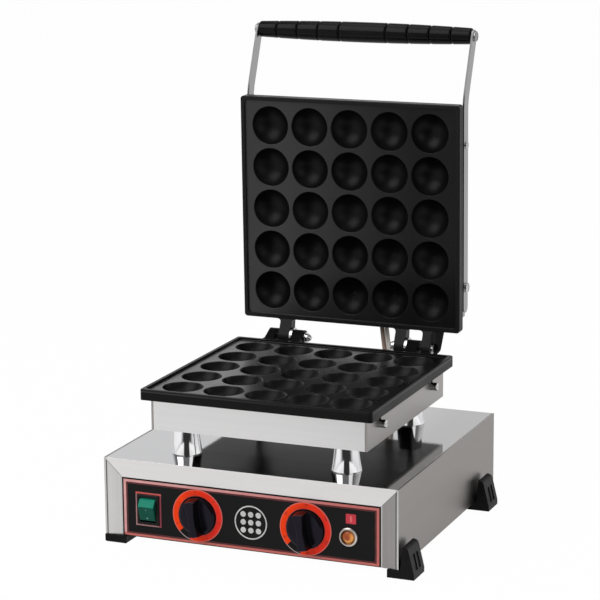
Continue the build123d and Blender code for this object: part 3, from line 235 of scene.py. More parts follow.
GRAIN = {"X": (6, 1500, 1500), "Y": (1500, 6, 1500), "Z": (1500, 1500, 6)}
STREAK = {"X": (1.5, 110, 110), "Y": (110, 1.5, 110), "Z": (110, 110, 1.5)}


def brushed(name, along, tone, rough=0.3, spread_rough=0.035, round_r=0.0005, tint=(1, 0.99, 0.985)):
    """Brushed stainless sheet, grained along one axis."""
    made, tree, shader = new_material(name, Metallic=1.0)
    fine = noise(tree, 1.0, 2.0, 0.6, GRAIN[along])
    broad = noise(tree, 1.0, 4.0, 0.55, STREAK[along])
    cloud = noise(tree, 9.0, 2.0)
    mixed = weighted(tree, (cloud, 0.2), (broad, 0.45), (fine, 0.35))
    dark, light = tone * 0.965, min(1.0, tone * 1.03)
    pair = [rgb(*(level * part for part in tint)) for level in (dark, light)]
    colour = shade(tree, spread(tree, mixed, 0, 1, 0.38, 0.62), *pair)
    tree.links.new(colour, shader.inputs["Base Color"])
    gloss = spread(tree, mixed, rough - spread_rough, rough + spread_rough, 0.38, 0.62)
    tree.links.new(gloss, shader.inputs["Roughness"])
    surface(tree, shader, fine, 0.05, 0.0001, round_r)
    return made, tree, shader


def polished(name, tone, rough):
    """Polished chrome or bright plating, with faint turning lines."""
    made, tree, shader = new_material(name, **{"Metallic": 1.0, "Base Color": rgb(tone, tone, tone * 1.01)})
    lines = noise(tree, 1.0, 2.0, stretch=(40, 40, 2600))
    cloud = noise(tree, 60.0)
    tree.links.new(spread(tree, cloud, max(0.02, rough - 0.025), rough + 0.04), shader.inputs["Roughness"])
    surface(tree, shader, lines, 0.02, 0.00005, 0.0004)
    return made


def stained(name, scale, low, high, rough_low, rough_high):
    """Metal with stains of another colour and gloss."""
    made, tree, shader = new_material(name, Metallic=1.0)
    stain = noise(tree, scale, 4.0)
    tree.links.new(mottled(tree, stain, low, high), shader.inputs["Base Color"])
    tree.links.new(spread(tree, stain, rough_low, rough_high), shader.inputs["Roughness"])
    return made


def shell_steel():
    """The cabinet's folded sheet: near-mirror top and brushed front frame with mitred corners. The top is
    painted darker than the frame, and darker still towards the right, as painted shade. The stiles are
    painted lighter on the left and darker on the right, as painted light and shade, with a painted highlight
    along their inner folds.
    """
    made, tree, shader = brushed("cabinet_steel", "X", 0.77, tint=(1.0, 0.975, 0.965))
    x, y, z = axes(tree)
    across = math_node(tree, "SUBTRACT", math_node(tree, "ABSOLUTE", x), STILE_X)
    across = math_node(tree, "DIVIDE", across, STILE_W)
    up = math_node(tree, "DIVIDE", math_node(tree, "SUBTRACT", z, RAIL_Z), RAIL_H)
    mitre = math_node(tree, "SUBTRACT", across, up)
    front = math_node(tree, "LESS_THAN", y, FRAME_Y)

    stile = math_node(tree, "MULTIPLY", spread(tree, mitre, 0, 1, -0.01, 0.01), front)
    # Painted light and shade: the left stile is painted lighter and the right one darker, for the light each
    # side catches; the streaks follow the upright grain.
    upright = spread(tree, noise(tree, 1.0, 4.0, 0.55, STREAK["Z"]), 0, 1, 0.38, 0.62)
    left = shade(tree, upright, rgb(0.60, 0.59, 0.585), rgb(0.66, 0.65, 0.64))
    right = shade(tree, upright, rgb(0.29, 0.275, 0.27), rgb(0.335, 0.32, 0.315))
    recolour(tree, shader, stile, shade(tree, math_node(tree, "GREATER_THAN", x, 0.0), left, right))

    seam = spread(tree, math_node(tree, "ABSOLUTE", mitre), 1, 0, 0.012, 0.022)
    above = math_node(tree, "GREATER_THAN", up, 0.02)
    seam = math_node(tree, "MULTIPLY", math_node(tree, "MULTIPLY", seam, front), above)
    recolour(tree, shader, seam, grey(0.16))
    # Painted highlight: a lighter line along each stile's inner folded edge.
    fold_highlight = math_node(tree, "MULTIPLY", stile, spread(tree, across, 1, 0, 0.05, 0.09))
    recolour(tree, shader, fold_highlight, rgb(0.56, 0.55, 0.54))
    outer = math_node(tree, "MULTIPLY", stile, spread(tree, across, 0, 1, 0.80, 0.86))
    recolour(tree, shader, outer, grey(0.10))

    top = facing(tree, 2, 0.8, 0.95)
    # Painted shade: the top face is painted darker than the frame, and darker still towards the right, for
    # the shade and dark reflections under the housing.
    painted_light_rightward = spread(tree, x, 0, 1, 40 * MM, 125 * MM)
    recolour(tree, shader, top, shade(tree, painted_light_rightward, rgb(0.47, 0.47, 0.48), rgb(0.35, 0.345, 0.345)))
    brushed_rough = shader.inputs["Roughness"].links[0].from_socket
    mirror_rough = spread(tree, noise(tree, 1.0, 3.0, stretch=STREAK["X"]), 0.04, 0.07)
    tree.links.new(between(tree, top, brushed_rough, mirror_rough), shader.inputs["Roughness"])
    return made


def under_steel():
    """The lower housing: bright sheet outside; the faces looking down are painted near black as painted
    shade.
    """
    made, tree, shader = brushed("housing_steel_lower", "X", 0.77, 0.32)
    # Painted shade: the underside is painted near black for the shade under the housing.
    dark = mottled(tree, noise(tree, 16.0, 4.0), (0.035, 0.033, 0.032), (0.070, 0.067, 0.064))
    recolour(tree, shader, facing(tree, 2, -0.5, -0.9), dark)
    return made


def edged_sheet(name, along, tone, rough, edge, **finish):
    """Brushed sheet whose edges facing the front are painted another colour for the light they catch."""
    made, tree, shader = brushed(name, along, tone, rough, **finish)
    # Painted light: the front-facing edges get the given colour, lighter on the side panels and darker on the
    # arms.
    recolour(tree, shader, facing(tree, 1, -0.5, -0.9), edge)
    return made


def coated(name, direction, level, field, rim):
    """Cast metal with a black non-stick coating, greyer on its rim and on its flats. Its cups are painted
    darker than the flats as painted shade, and the flats are painted light at the left, fading to near black
    at the right.
    """
    made, tree, shader = new_material(name)
    fine = noise(tree, 1100.0, 3.0, 0.6)
    broad = noise(tree, 28.0, 4.0)
    speck = noise(tree, 420.0, 2.0)
    # Painted shade: the cups get a darker colour than the flats, for the shade in the hollows.
    cups = mottled(tree, broad, (0.0018, 0.0019, 0.0020), (0.0036, 0.0037, 0.0039))
    tree.links.new(cups, shader.inputs["Base Color"])

    off = from_level(tree, direction, level)
    recolour(tree, shader, spread(tree, off, 1, 0, -1.4 * MM, -1.0 * MM), grey(rim))
    flat = spread(tree, math_node(tree, "ABSOLUTE", off), 1, 0, 0.6 * MM, 0.8 * MM)
    # Painted light: the flats fade from their mottled grey at the left to near black at the right; their
    # gloss follows the same fade.
    painted_light_leftward = spread(tree, axes(tree)[0], 1.0, 0.25, -75 * MM, 70 * MM)
    mottled_painted_light = mottled(tree, noise(tree, 17.0, 5.0, 0.6), [field * 0.8] * 3, [field * 1.2] * 3)
    recolour(tree, shader, flat, shade(tree, painted_light_leftward, grey(0.002), mottled_painted_light))

    sheen = spread(tree, math_node(tree, "MULTIPLY", flat, painted_light_leftward), 0.13, 0.50, 0, 1)
    tree.links.new(sheen, shader.inputs["Specular IOR Level"])
    rough = between(tree, flat, spread(tree, broad, 0.35, 0.42), spread(tree, broad, 0.26, 0.33))
    tree.links.new(rough, shader.inputs["Roughness"])
    surface(tree, shader, math_node(tree, "ADD", fine, speck), 0.16, 0.00022, 0.0008)
    return made


# Plastics, prints and other finishes

def plastic(name, low, high, rough, grain=900.0, bump=0.08, round_r=0.0004, level=0.5):
    """Moulded plastic with a fine eroded grain."""
    made, tree, shader = new_material(name, **{"Specular IOR Level": level})
    broad = noise(tree, 45.0)
    tree.links.new(mottled(tree, broad, low, high), shader.inputs["Base Color"])
    tree.links.new(spread(tree, broad, rough - 0.05, rough + 0.06), shader.inputs["Roughness"])
    surface(tree, shader, noise(tree, grain, 3.0, 0.6), bump, 0.0002, round_r)
    return made


def foot_rubber():
    """Black moulded feet, painted a lighter grey where they face to the right, as painted light."""
    low, high = (0.003, 0.003, 0.0035), (0.006, 0.006, 0.0065)
    made = plastic("foot_rubber", low, high, 0.55, 700.0, 0.15, level=0.12)
    tree, shader = principled(made)
    # Painted light: the faces looking right are painted a mottled lighter grey.
    mottled_painted_light = mottled(tree, noise(tree, 260.0, 4.0), (0.030, 0.030, 0.031), (0.044, 0.044, 0.045))
    recolour(tree, shader, facing(tree, 0, 0.5, 0.9), mottled_painted_light)
    return made


def knob_plastic():
    """Glossy black knobs whose reflections are tinted violet, a painted reflection colour."""
    low, high = (0.002, 0.002, 0.0024), (0.0042, 0.0042, 0.005)
    made = plastic("phenolic", low, high, 0.20, 1500.0, 0.03, 0.0006, 0.22)
    # Painted reflection: violet tint on the knobs' reflections.
    principled(made)[1].inputs["Specular Tint"].default_value = rgb(0.78, 0.68, 1.0)
    return made


def rocker_plastic():
    """Green rocker whose upper slope is painted a lighter green, as painted light."""
    low, high = (0.004, 0.075, 0.050), (0.006, 0.095, 0.062)
    made = plastic("rocker_green", low, high, 0.33, 1500.0, 0.02, 0.0012, 0.09)
    tree, shader = principled(made)
    # Painted light: the upward-facing slope is painted lighter.
    recolour(tree, shader, facing(tree, 2, 0.05, 0.45), rgb(0.009, 0.225, 0.145))
    return made


def dial_print(name, centre_x, gap_at, gap_half):
    """Orange-red print on the dial ring with duller edges, painted lighter at its left and duller at its
    right as painted light, black at the lower left but for its outer edge.
    """
    made, tree, shader = new_material(name, **{"Specular IOR Level": 0.1, "Roughness": 0.42})
    across, up, radius = from_centre(tree, centre_x, DIAL_Z)
    angle = math_node(tree, "ARCTAN2", up, across)
    off = math_node(tree, "ABSOLUTE", math_node(tree, "SUBTRACT", angle, math.radians(gap_at)))
    gap = spread(tree, off, 1, 0, math.radians(gap_half - 0.4), math.radians(gap_half + 0.4))
    rim = spread(tree, radius, 0, 1, *DIAL_RIM)
    hem = spread(tree, radius, 1, 0, *DIAL_HEM)
    mottle = noise(tree, 70.0)
    lit = mottled(tree, mottle, (1.0, 0.062, 0.004), (0.96, 0.045, 0.006))
    dull = mottled(tree, mottle, (0.86, 0.034, 0.012), (0.78, 0.026, 0.018))
    # Painted light: the print is lighter at the ring's left and duller at its right.
    orange = shade(tree, spread(tree, across, 0, 1, -18 * MM, 20 * MM), lit, dull)
    orange = shade(tree, math_node(tree, "MULTIPLY", hem, 0.6), orange, rgb(0.50, 0.10, 0.09))
    orange = shade(tree, math_node(tree, "MULTIPLY", rim, 0.75), orange, rgb(0.62, 0.20, 0.17))
    in_gap = shade(tree, rim, rgb(0.006, 0.006, 0.0065), rgb(0.42, 0.33, 0.32))
    tree.links.new(shade(tree, gap, orange, in_gap), shader.inputs["Base Color"])
    return made


def lens_amber():
    """Amber pilot lens, deep in the middle and lighter round it, with a painted highlight that makes the ring
    lightest at the lower right; its faint emission has the same colours.
    """
    made, tree, shader = new_material("lens_amber", **{"Roughness": 0.16, "Specular IOR Level": 0.25})
    across, up, radius = from_centre(tree, LAMP_X, LAMP_Z)
    deep = mottled(tree, noise(tree, 500.0, 2.0), (0.20, 0.030, 0.010), (0.34, 0.060, 0.016))
    ring = spread(tree, radius, 0, 1, *LENS_RIM)
    # Painted highlight: the ring is lightest at the lower right, in the colour and in the emission.
    low = spread(tree, math_node(tree, "SUBTRACT", across, up), 0.12, 1, -3.2 * MM, 3.2 * MM)
    colour = shade(tree, math_node(tree, "MULTIPLY", ring, low), deep, rgb(0.86, 0.36, 0.085))
    tree.links.new(colour, shader.inputs["Base Color"])
    tree.links.new(colour, shader.inputs["Emission Color"])
    shader.inputs["Emission Strength"].default_value = 0.12
    return made


def bezel_chrome():
    """Chrome ring of the pilot lamp: bright outer edge, and on its inner slope a painted amber reflection of
    the lens, lighter towards the right.
    """
    made = polished("lamp_chrome", 0.70, 0.30)
    tree, shader = principled(made)
    across, _, radius = from_centre(tree, LAMP_X, LAMP_Z)
    # Painted reflection: amber on the inner slope, lighter towards the right.
    painted_light_rightward = spread(tree, across, 0, 1, -4 * MM, 4 * MM)
    inner = shade(tree, painted_light_rightward, rgb(0.10, 0.055, 0.035), rgb(0.30, 0.15, 0.07))
    painted_reflection = shade(tree, spread(tree, radius, 0, 1, *BEZEL_SLOPE), inner, rgb(0.70, 0.66, 0.62))
    tree.links.new(painted_reflection, shader.inputs["Base Color"])
    return made


def woven(name, low, high):
    """Braided heat-proof sleeve."""
    made, tree, shader = new_material(name, **{"Roughness": 0.7, "Specular IOR Level": 0.3})
    coords = put(tree, "TexCoord").outputs["UV"]
    weave = []
    for turn in (0.9, -0.9):
        vector = put(tree, "Mapping", {0: coords, "Rotation": (0, 0, turn), "Scale": (7, 34, 1)}).outputs[0]
        weave.append(put(tree, "TexWave", {"Vector": vector, "Scale": 1.0, "Distortion": 0.4}).outputs[1])
    strands = math_node(tree, "MULTIPLY", *weave)
    fleck = math_node(tree, "MULTIPLY", noise(tree, 700.0), 0.4)
    colour = shade(tree, math_node(tree, "ADD", strands, fleck, clamp=True), rgb(*low), rgb(*high))
    tree.links.new(colour, shader.inputs["Base Color"])
    surface(tree, shader, strands, 0.5, 0.0004)
    return made


def board(name, low, high):
    """Pressed mineral fibre."""
    made, tree, shader = new_material(name, **{"Roughness": 0.9, "Specular IOR Level": 0.2})
    fibres = noise(tree, 1.0, 6.0, 0.7, (90, 260, 400))
    tree.links.new(mottled(tree, fibres, low, high), shader.inputs["Base Color"])
    surface(tree, shader, fibres, 0.4, 0.0008)
    return made


def printed(name, low, high):
    """Flat ink on the panel, slightly uneven."""
    made, tree, shader = new_material(name, **{"Roughness": 0.4, "Specular IOR Level": 0.4})
    tree.links.new(mottled(tree, noise(tree, 90.0), low, high), shader.inputs["Base Color"])
    return made


def line_print(name, low, high, bands):
    """Printed line whose colour changes along an axis, as painted light and shade: (axis, start, end,
    colour), in millimetres.
    """
    made = printed(name, low, high)
    tree, shader = principled(made)
    for axis, start, end, colour in bands:
        recolour(tree, shader, spread(tree, axes(tree)[axis], 0, 1, start * MM, end * MM), rgb(*colour))
    return made


def panel_film():
    """Black satin film of the control panel."""
    made, tree, shader = new_material("panel_film", **{"Specular IOR Level": 0.13})
    fine = noise(tree, 1600.0, 2.0)
    film = mottled(tree, noise(tree, 14.0), (0.0030, 0.0034, 0.0030), (0.0058, 0.0060, 0.0058))
    tree.links.new(film, shader.inputs["Base Color"])
    tree.links.new(spread(tree, fine, 0.30, 0.38), shader.inputs["Roughness"])
    surface(tree, shader, fine, 0.05, 0.0001)
    return made


# Materials of the CAD nodes

# Painted shade: the side sheets are darker copies of the stainless steel, toned for the dimmer light on the
# sides; the side panels' front edges carry a painted highlight.
side_steel = edged_sheet("side_steel", "Y", 0.29, 0.36, rgb(0.62, 0.61, 0.60), tint=(1.0, 0.93, 0.89))
housing_side_steel = brushed("housing_side_steel", "Y", 0.38, 0.34, tint=(1.0, 0.95, 0.92))[0]
housing_steel = brushed("housing_steel", "X", 0.72)[0]
# Painted shade: the arms' front edges are painted dark.
arm_steel = edged_sheet("arm_steel", "Z", 0.42, 0.33, grey(0.13), spread_rough=0.06, round_r=0.0)
chrome = polished("chrome", 0.88, 0.05)
zinc = polished("plated_steel", 0.62, 0.16)
rubber = foot_rubber()
knob_black = knob_plastic()
grip_black = plastic("grip_black", [0.0022] * 3, [0.0045] * 3, 0.22, 1200.0, 0.05, 0.0006, 0.11)
matte_black = plastic("switch_black", [0.003] * 3, [0.006] * 3, 0.45, 1200.0, level=0.2)
cream = plastic("regulator_cream", (0.60, 0.55, 0.44), (0.70, 0.66, 0.54), 0.45)
fibre = board("mineral_board", (0.52, 0.50, 0.45), (0.72, 0.70, 0.64))
sheath = stained("element_sheath", 35.0, (0.10, 0.095, 0.11), (0.24, 0.20, 0.17), 0.35, 0.5)
lid_normal = (0, math.cos(LID_LEAN), math.sin(LID_LEAN))

ASSIGN = {
    "cabinet_shell": shell_steel(),
    "side_panel_left": side_steel,
    "side_panel_right": side_steel,
    "rear_panel": housing_steel,
    "bottom_cover": housing_steel,
    "lower_housing": under_steel(),
    # Painted shade: the lid's steel has a darker tone than the housing's, to damp the key light's highlight
    # on it.
    "upper_housing": brushed("lid_steel", "X", 0.52, 0.38)[0],
    "lower_housing_side_left": housing_side_steel,
    "lower_housing_side_right": housing_side_steel,
    "upper_housing_side_left": housing_side_steel,
    "upper_housing_side_right": housing_side_steel,
    "handle_arm_left": arm_steel,
    "handle_arm_right": arm_steel,
    "handle_grip": grip_black,
    "handle_rod": polished("rod_steel", 0.36, 0.30),
    "lower_plate": coated("coating_lower", (0, 0, 1), FIELD_BASE, 0.0045, 0.0035),
    "upper_plate": coated("coating_upper", lid_normal, FIELD_LID, 0.014, 0.010),
    "control_panel": panel_film(),
    "knob_left": knob_black,
    "knob_right": knob_black,
    "switch_rocker": rocker_plastic(),
    "switch_housing": matte_black,
    "cable_gland": matte_black,
    "lamp_body": matte_black,
    "lamp_bezel": bezel_chrome(),
    "lamp_lens": lens_amber(),
    "timer_body": cream,
    "thermostat_body": cream,
    "terminal_block": cream,
    "thermostat_feeler": stained("copper", 90.0, (0.55, 0.26, 0.15), (0.38, 0.17, 0.10), 0.25, 0.42),
    "dial_ring_left": dial_print("dial_left", DIAL_LEFT_X, -124.0, 14.0),
    "dial_ring_right": dial_print("dial_right", DIAL_RIGHT_X, -120.0, 17.5),
    "foot_screws": zinc,
    "leg_tubes": zinc,
}
BY_START = {"foot_": rubber, "leg_": chrome, "lead_grommet": matte_black}
BY_END = {"_insulation": fibre, "_element": sheath}
SMOOTH_BELOW = math.radians(28)


def node_material(name):
    """A node's own material, or that of its family, or plated steel."""
    if name in ASSIGN:
        return ASSIGN[name]
    for start, made in BY_START.items():
        if name.startswith(start):
            return made
    for end, made in BY_END.items():
        if name.endswith(end):
            return made
    return zinc


for name in nodes:
    mesh = nodes[name].data
    mesh.materials.clear()
    mesh.materials.append(node_material(name))
    mesh.shade_smooth()
    mesh.set_sharp_from_angle(angle=SMOOTH_BELOW)


# Prints on the panel and on the dial rings

def add_object(name, data):
    obj = bpy.data.objects.new(name, data)
    bpy.context.scene.collection.objects.link(obj)
    return obj


def piece(name, bm, body, made):
    """Turn a bmesh in frame coordinates into a piece that rides on a body."""
    mesh = bpy.data.meshes.new(name)
    bmesh.ops.recalc_face_normals(bm, faces=bm.faces)
    bm.to_mesh(mesh)
    bm.free()
    obj = add_object(name, mesh)
    mesh.materials.append(made)
    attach(obj, body)


def on_panel(x, z, lift=0.0):
    """Point on the panel's face, x and z in millimetres."""
    return Vector((x * MM, PANEL_Y - lift, z * MM))


def join_rings(bm, a, b):
    """Faces between two closed rings with as many vertices."""
    for i in range(len(a)):
        j = (i + 1) % len(a)
        bm.faces.new((a[i], b[i], b[j], a[j]))


def slab(bm, near, far):
    """Thin layer between two closed outlines of points."""
    near = [bm.verts.new(point) for point in near]
    far = [bm.verts.new(point) for point in far]
    bm.faces.new(near)
    bm.faces.new(far[::-1])
    join_rings(bm, near, far)


def print_shapes(name, outlines, made, lift=0.0):
    """Filled prints with those outlines (mm), as one piece."""
    bm = bmesh.new()
    for outline in outlines:
        near = [on_panel(x, z, lift + PRINT_T) for x, z in outline]
        far = [on_panel(x, z, lift) for x, z in outline]
        slab(bm, near, far)
    piece(name, bm, "base", made)


def print_band(name, outer, inner, made):
    """Print between two outlines (mm) with as many points."""
    bm = bmesh.new()
    rings = []
    for outline, depth in ((outer, 0), (outer, PRINT_T), (inner, PRINT_T), (inner, 0)):
        rings.append([bm.verts.new(on_panel(x, z, depth)) for x, z in outline])
    for a, b in zip(rings, rings[1:] + rings[:1]):
        join_rings(bm, a, b)
    piece(name, bm, "base", made)


def box_outline(x0, z0, x1, z1, radius=0.0, steps=5):
    """Rectangle with round corners, counter-clockwise from the lower left."""
    if not radius:
        return [(x0, z0), (x1, z0), (x1, z1), (x0, z1)]
    points = []
    for cx, cz, start in ((x0, z0, 180), (x1, z0, 270), (x1, z1, 0), (x0, z1, 90)):
        mx = cx + radius * (1 if cx == x0 else -1)
        mz = cz + radius * (1 if cz == z0 else -1)
        for k in range(steps + 1):
            a = math.radians(start + 90 * k / steps)
            points.append((mx + radius * math.cos(a), mz + radius * math.sin(a)))
    return points


def disc(x, z, r, steps=28):
    turn = 2 * math.pi / steps
    return [(x + r * math.cos(k * turn), z + r * math.sin(k * turn)) for k in range(steps)]


# Painted light and shade on the red lines of one ink: the border darker towards the right and along its
# bottom, the switch line darker on its right side and redder along its top.
BORDER_PAINTED_LIGHT = [(0, -70.0, 110.0, (0.54, 0.135, 0.120)), (2, 12.0, 11.0, (0.56, 0.14, 0.115))]
SWITCH_PAINTED_LIGHT = [(0, -99.4, -98.6, (0.30, 0.045, 0.065)), (2, 53.4, 53.8, (0.60, 0.095, 0.085))]
pale_red = line_print("line_red", (0.66, 0.29, 0.28), (0.75, 0.38, 0.36), BORDER_PAINTED_LIGHT)
glow_red = printed("line_glow", (0.040, 0.004, 0.005), (0.11, 0.007, 0.010))
line_red = line_print("switch_line_red", (0.36, 0.17, 0.17), (0.50, 0.25, 0.24), SWITCH_PAINTED_LIGHT)
crimson = printed("icon_crimson", (0.50, 0.020, 0.040), (0.62, 0.035, 0.055))
ink_white = printed("ink_white", (0.50, 0.50, 0.49), (0.64, 0.64, 0.63))
ink_rose = printed("ink_rose", (0.72, 0.10, 0.10), (0.84, 0.20, 0.18))
ink_dark = printed("ink_dark", (0.20, 0.009, 0.004), (0.28, 0.013, 0.006))

border_out = box_outline(-138.0, 8.8, 138.0, 67.9)
border_mid = box_outline(-135.3, 11.2, 135.3, 65.3)
border_in = box_outline(-133.4, 13.0, 133.4, 63.5)
print_band("panel_border", border_out, border_mid, pale_red)
print_band("panel_border_shade", border_mid, border_in, glow_red)
switch_out = box_outline(-124.65, 20.6, -96.35, 55.8)
switch_in = box_outline(-123.35, 21.9, -98.45, 53.7)
print_band("switch_line", switch_out, switch_in, line_red)
icon_square = box_outline(103.2, 48.7, 113.8, 58.7, 0.8)
icon_stroke = box_outline(107.7, 50.4, 109.3, 57.0, 0.7)
print_shapes("lamp_icon", [icon_square], crimson)
print_shapes("lamp_icon_mark", [icon_stroke], ink_rose, PRINT_T)

# A plain picture of a waffle between the dials: a round outline with nine bubbles
picture_out = disc(PICTURE_X, PICTURE_Z, PICTURE_R, 56)
picture_in = disc(PICTURE_X, PICTURE_Z, PICTURE_INNER_R, 56)
print_band("waffle_picture_rim", picture_out, picture_in, ink_white)
rows = [PICTURE_Z + BUBBLE_PITCH * step for step in (-1, 0, 1)]
columns = [PICTURE_X + BUBBLE_PITCH * step for step in (-1, 0, 1)]
print_shapes("waffle_picture_bubbles", [disc(x, z, BUBBLE_R) for z in rows for x in columns], ink_white)


def scale_ticks(name, centre_x, count, start, sweep):
    """Long and short ticks at the inner edge of a dial ring."""
    ticks = []
    mid = Vector((centre_x, DIAL_Z))
    for k in range(count + 1):
        a = math.radians(start - sweep * k / count)
        end_r = TICK_R + (TICK_SHORT if k % 2 else TICK_LONG)
        out = Vector((math.cos(a), math.sin(a)))
        across = Vector((-out.y, out.x)) * TICK_HALF_W
        corners = [mid + out * TICK_R - across, mid + out * end_r - across]
        corners += [mid + out * end_r + across, mid + out * TICK_R + across]
        ticks.append([tuple(corner) for corner in corners])
    print_shapes(name + "_ticks", ticks, ink_dark, RING_T)


def scale_number(name, word, centre_x, a):
    """Number on a dial ring, with its foot towards the ring's middle."""
    text = bpy.data.curves.new(name, "FONT")
    text.body = word
    text.size = NUMBER_H * MM
    text.align_x = "CENTER"
    text.align_y = "CENTER"
    text.extrude = PRINT_T / 2
    text.resolution_u = 3
    text.materials.append(ink_dark)
    obj = add_object(name, text)
    x = centre_x + NUMBER_R * math.cos(a)
    z = DIAL_Z + NUMBER_R * math.sin(a)
    turn = Matrix.Rotation(a - math.pi / 2, 4, "Z")
    stand = Matrix.Rotation(math.pi / 2, 4, "X")
    obj.matrix_world = Matrix.Translation(on_panel(x, z, RING_T + PRINT_T / 2)) @ stand @ turn
    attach(obj, "base")


def dial_scale(name, centre_x, words, start, sweep):
    """Ticks and numbers round a dial ring, on top of its print."""
    steps = len(words) - 1
    scale_ticks(name, centre_x, 2 * steps, start, sweep)
    for k, word in enumerate(words):
        scale_number(f"{name}_number_{k}", word, centre_x, math.radians(start - sweep * k / steps))


dial_scale("timer_scale", DIAL_LEFT_X, ("0", "1", "2", "3", "4", "5"), 205, 270)
dial_scale("heat_scale", DIAL_RIGHT_X, ("50", "100", "150", "200", "250", "300"), 205, 290)


def rocker_mark(name, along, outline, made):
    """Mark on the rocker's lower face; outline counts from the point at this share of its height."""
    slope = (ROCKER_RIDGE - ROCKER_LOW).normalized()
    out = Vector((0, -slope.z, slope.y))
    mid = ROCKER_PIVOT + ROCKER_LOW.lerp(ROCKER_RIDGE, along)
    near = [mid + Vector((x * MM, 0, 0)) + slope * (s * MM) + out * PRINT_T for x, s in outline]
    bm = bmesh.new()
    slab(bm, near, [point - out * (2 * PRINT_T) for point in near])
    piece(name, bm, "rocker", made)


# A small bar near the rocker's ridge and a dot near its lower end
mark_green = printed("mark_green", (0.10, 0.30, 0.25), (0.14, 0.36, 0.30))
rocker_mark("rocker_mark_on", 0.80, box_outline(-0.3, -0.9, 0.3, 0.9), mark_green)
rocker_mark("rocker_mark_off", 0.17, disc(0, 0, 1.0, 20), mark_green)


# Two sleeved leads from the cabinet to the lid, on the route of the solids they stand for

def spline_points(name, controls):
    """Points along a smooth spline with those control points."""
    curve = bpy.data.curves.new(name, "CURVE")
    curve.dimensions = "3D"
    curve.resolution_u = 24
    spline = curve.splines.new("NURBS")
    spline.points.add(len(controls) - 1)
    for target, point in zip(spline.points, controls):
        target.co = (*point, 1.0)
    spline.order_u = 3
    spline.use_endpoint_u = True
    holder = bpy.data.objects.new(name, curve)
    line = bpy.data.meshes.new_from_object(holder)
    path = [v.co.copy() for v in line.vertices]
    bpy.data.meshes.remove(line)
    bpy.data.objects.remove(holder)
    return path


def tube_mesh(name, path, runs, radius, sides=24):
    """Closed tube round a path, its UVs counted along and round it."""
    bm = bmesh.new()
    uv = bm.loops.layers.uv.new("UVMap")
    rings = []
    turns = [2 * math.pi * s / sides for s in range(sides)]
    for k, p in enumerate(path):
        ahead = path[min(k + 1, len(path) - 1)] - path[max(k - 1, 0)]
        t = ahead.normalized()
        u = t.cross(Vector((0, 1, 0))).normalized()
        w = t.cross(u)
        rings.append([bm.verts.new(p + (u * math.cos(a) + w * math.sin(a)) * radius) for a in turns])
    for k in range(len(rings) - 1):
        for s in range(sides):
            n = (s + 1) % sides
            face = bm.faces.new((rings[k][s], rings[k][n], rings[k + 1][n], rings[k + 1][s]))
            face.smooth = True
            corners = ((s, k), (s + 1, k), (s + 1, k + 1), (s, k + 1))
            for loop, (a, b) in zip(face.loops, corners):
                loop[uv].uv = (a / sides * 3, runs[b] / (2 * math.pi * radius) * 3)
    bm.faces.new(rings[0][::-1])
    bm.faces.new(rings[-1])
    mesh = bpy.data.meshes.new(name)
    bm.to_mesh(mesh)
    bm.free()
    return mesh


def sleeve(name, controls, radius, made):
    """Sleeved lead: a tube round a spline through those control points."""
    path = spline_points(name + "_line", controls)
    runs = [0.0]
    for a, b in zip(path, path[1:]):
        runs.append(runs[-1] + (b - a).length)
    mesh = tube_mesh(name, path, runs, radius)
    mesh.materials.append(made)
    obj = add_object(name, mesh)
    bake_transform(obj)
    return obj


LEAD_R = 2.4 * MM
LEAD_PITCH = 5.3
# Painted light: both sleeves are given lighter colours than their own, to make up for the lid's shade over
# them.
brown = woven("sleeve_brown", (0.30, 0.21, 0.16), (0.52, 0.39, 0.31))
sand = woven("sleeve_sand", (0.78, 0.73, 0.64), (0.92, 0.88, 0.80))
for k, (name, made) in enumerate((("lead_brown", brown), ("lead_sand", sand))):
    shift = LEAD_PITCH * k
    route = [(40.0 + shift, 139.0, 91.0), (40.0 + shift, 139.0, 129.0)]
    route += [(31.5 + shift, 148.0, 165.0), (26.0 + shift, 156.24, 185.55)]
    lead = sleeve(name, [Vector(point) * MM for point in route], LEAD_R, made)
    if k == 0:
        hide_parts("lid_leads")


# The studio: white walls, lower in front, a dark ceiling, and a dark opening towards the front right, so that
# polished parts show one dark band

OPENING_TOWARD = (0.383, -0.924, 0.0)
DARK = grey(0.03)
CEILING = grey(0.26)
WHITE = grey(1.0)
WALL_TOP_FRONT = (0.02, 0.22)
WALL_TOP_BACK = (0.40, 0.62)
FLOOR_HALF = 6


def ray_kinds(tree):
    """Factors for rays from the camera and for rays that the object mirrors or passes on."""
    path = put(tree, "LightPath").outputs
    mirrored = math_node(tree, "MAXIMUM", path["Is Glossy Ray"], path["Is Transmission Ray"])
    return path["Is Camera Ray"], mirrored


def studio_opening(tree, direction, start=0.91, end=0.945):
    """1 towards the dark opening, 0 elsewhere."""
    sockets = {0: direction, 1: OPENING_TOWARD}
    toward = put(tree, "VectorMath", sockets, operation="DOT_PRODUCT").outputs["Value"]
    return spread(tree, toward, 0, 1, start, end)


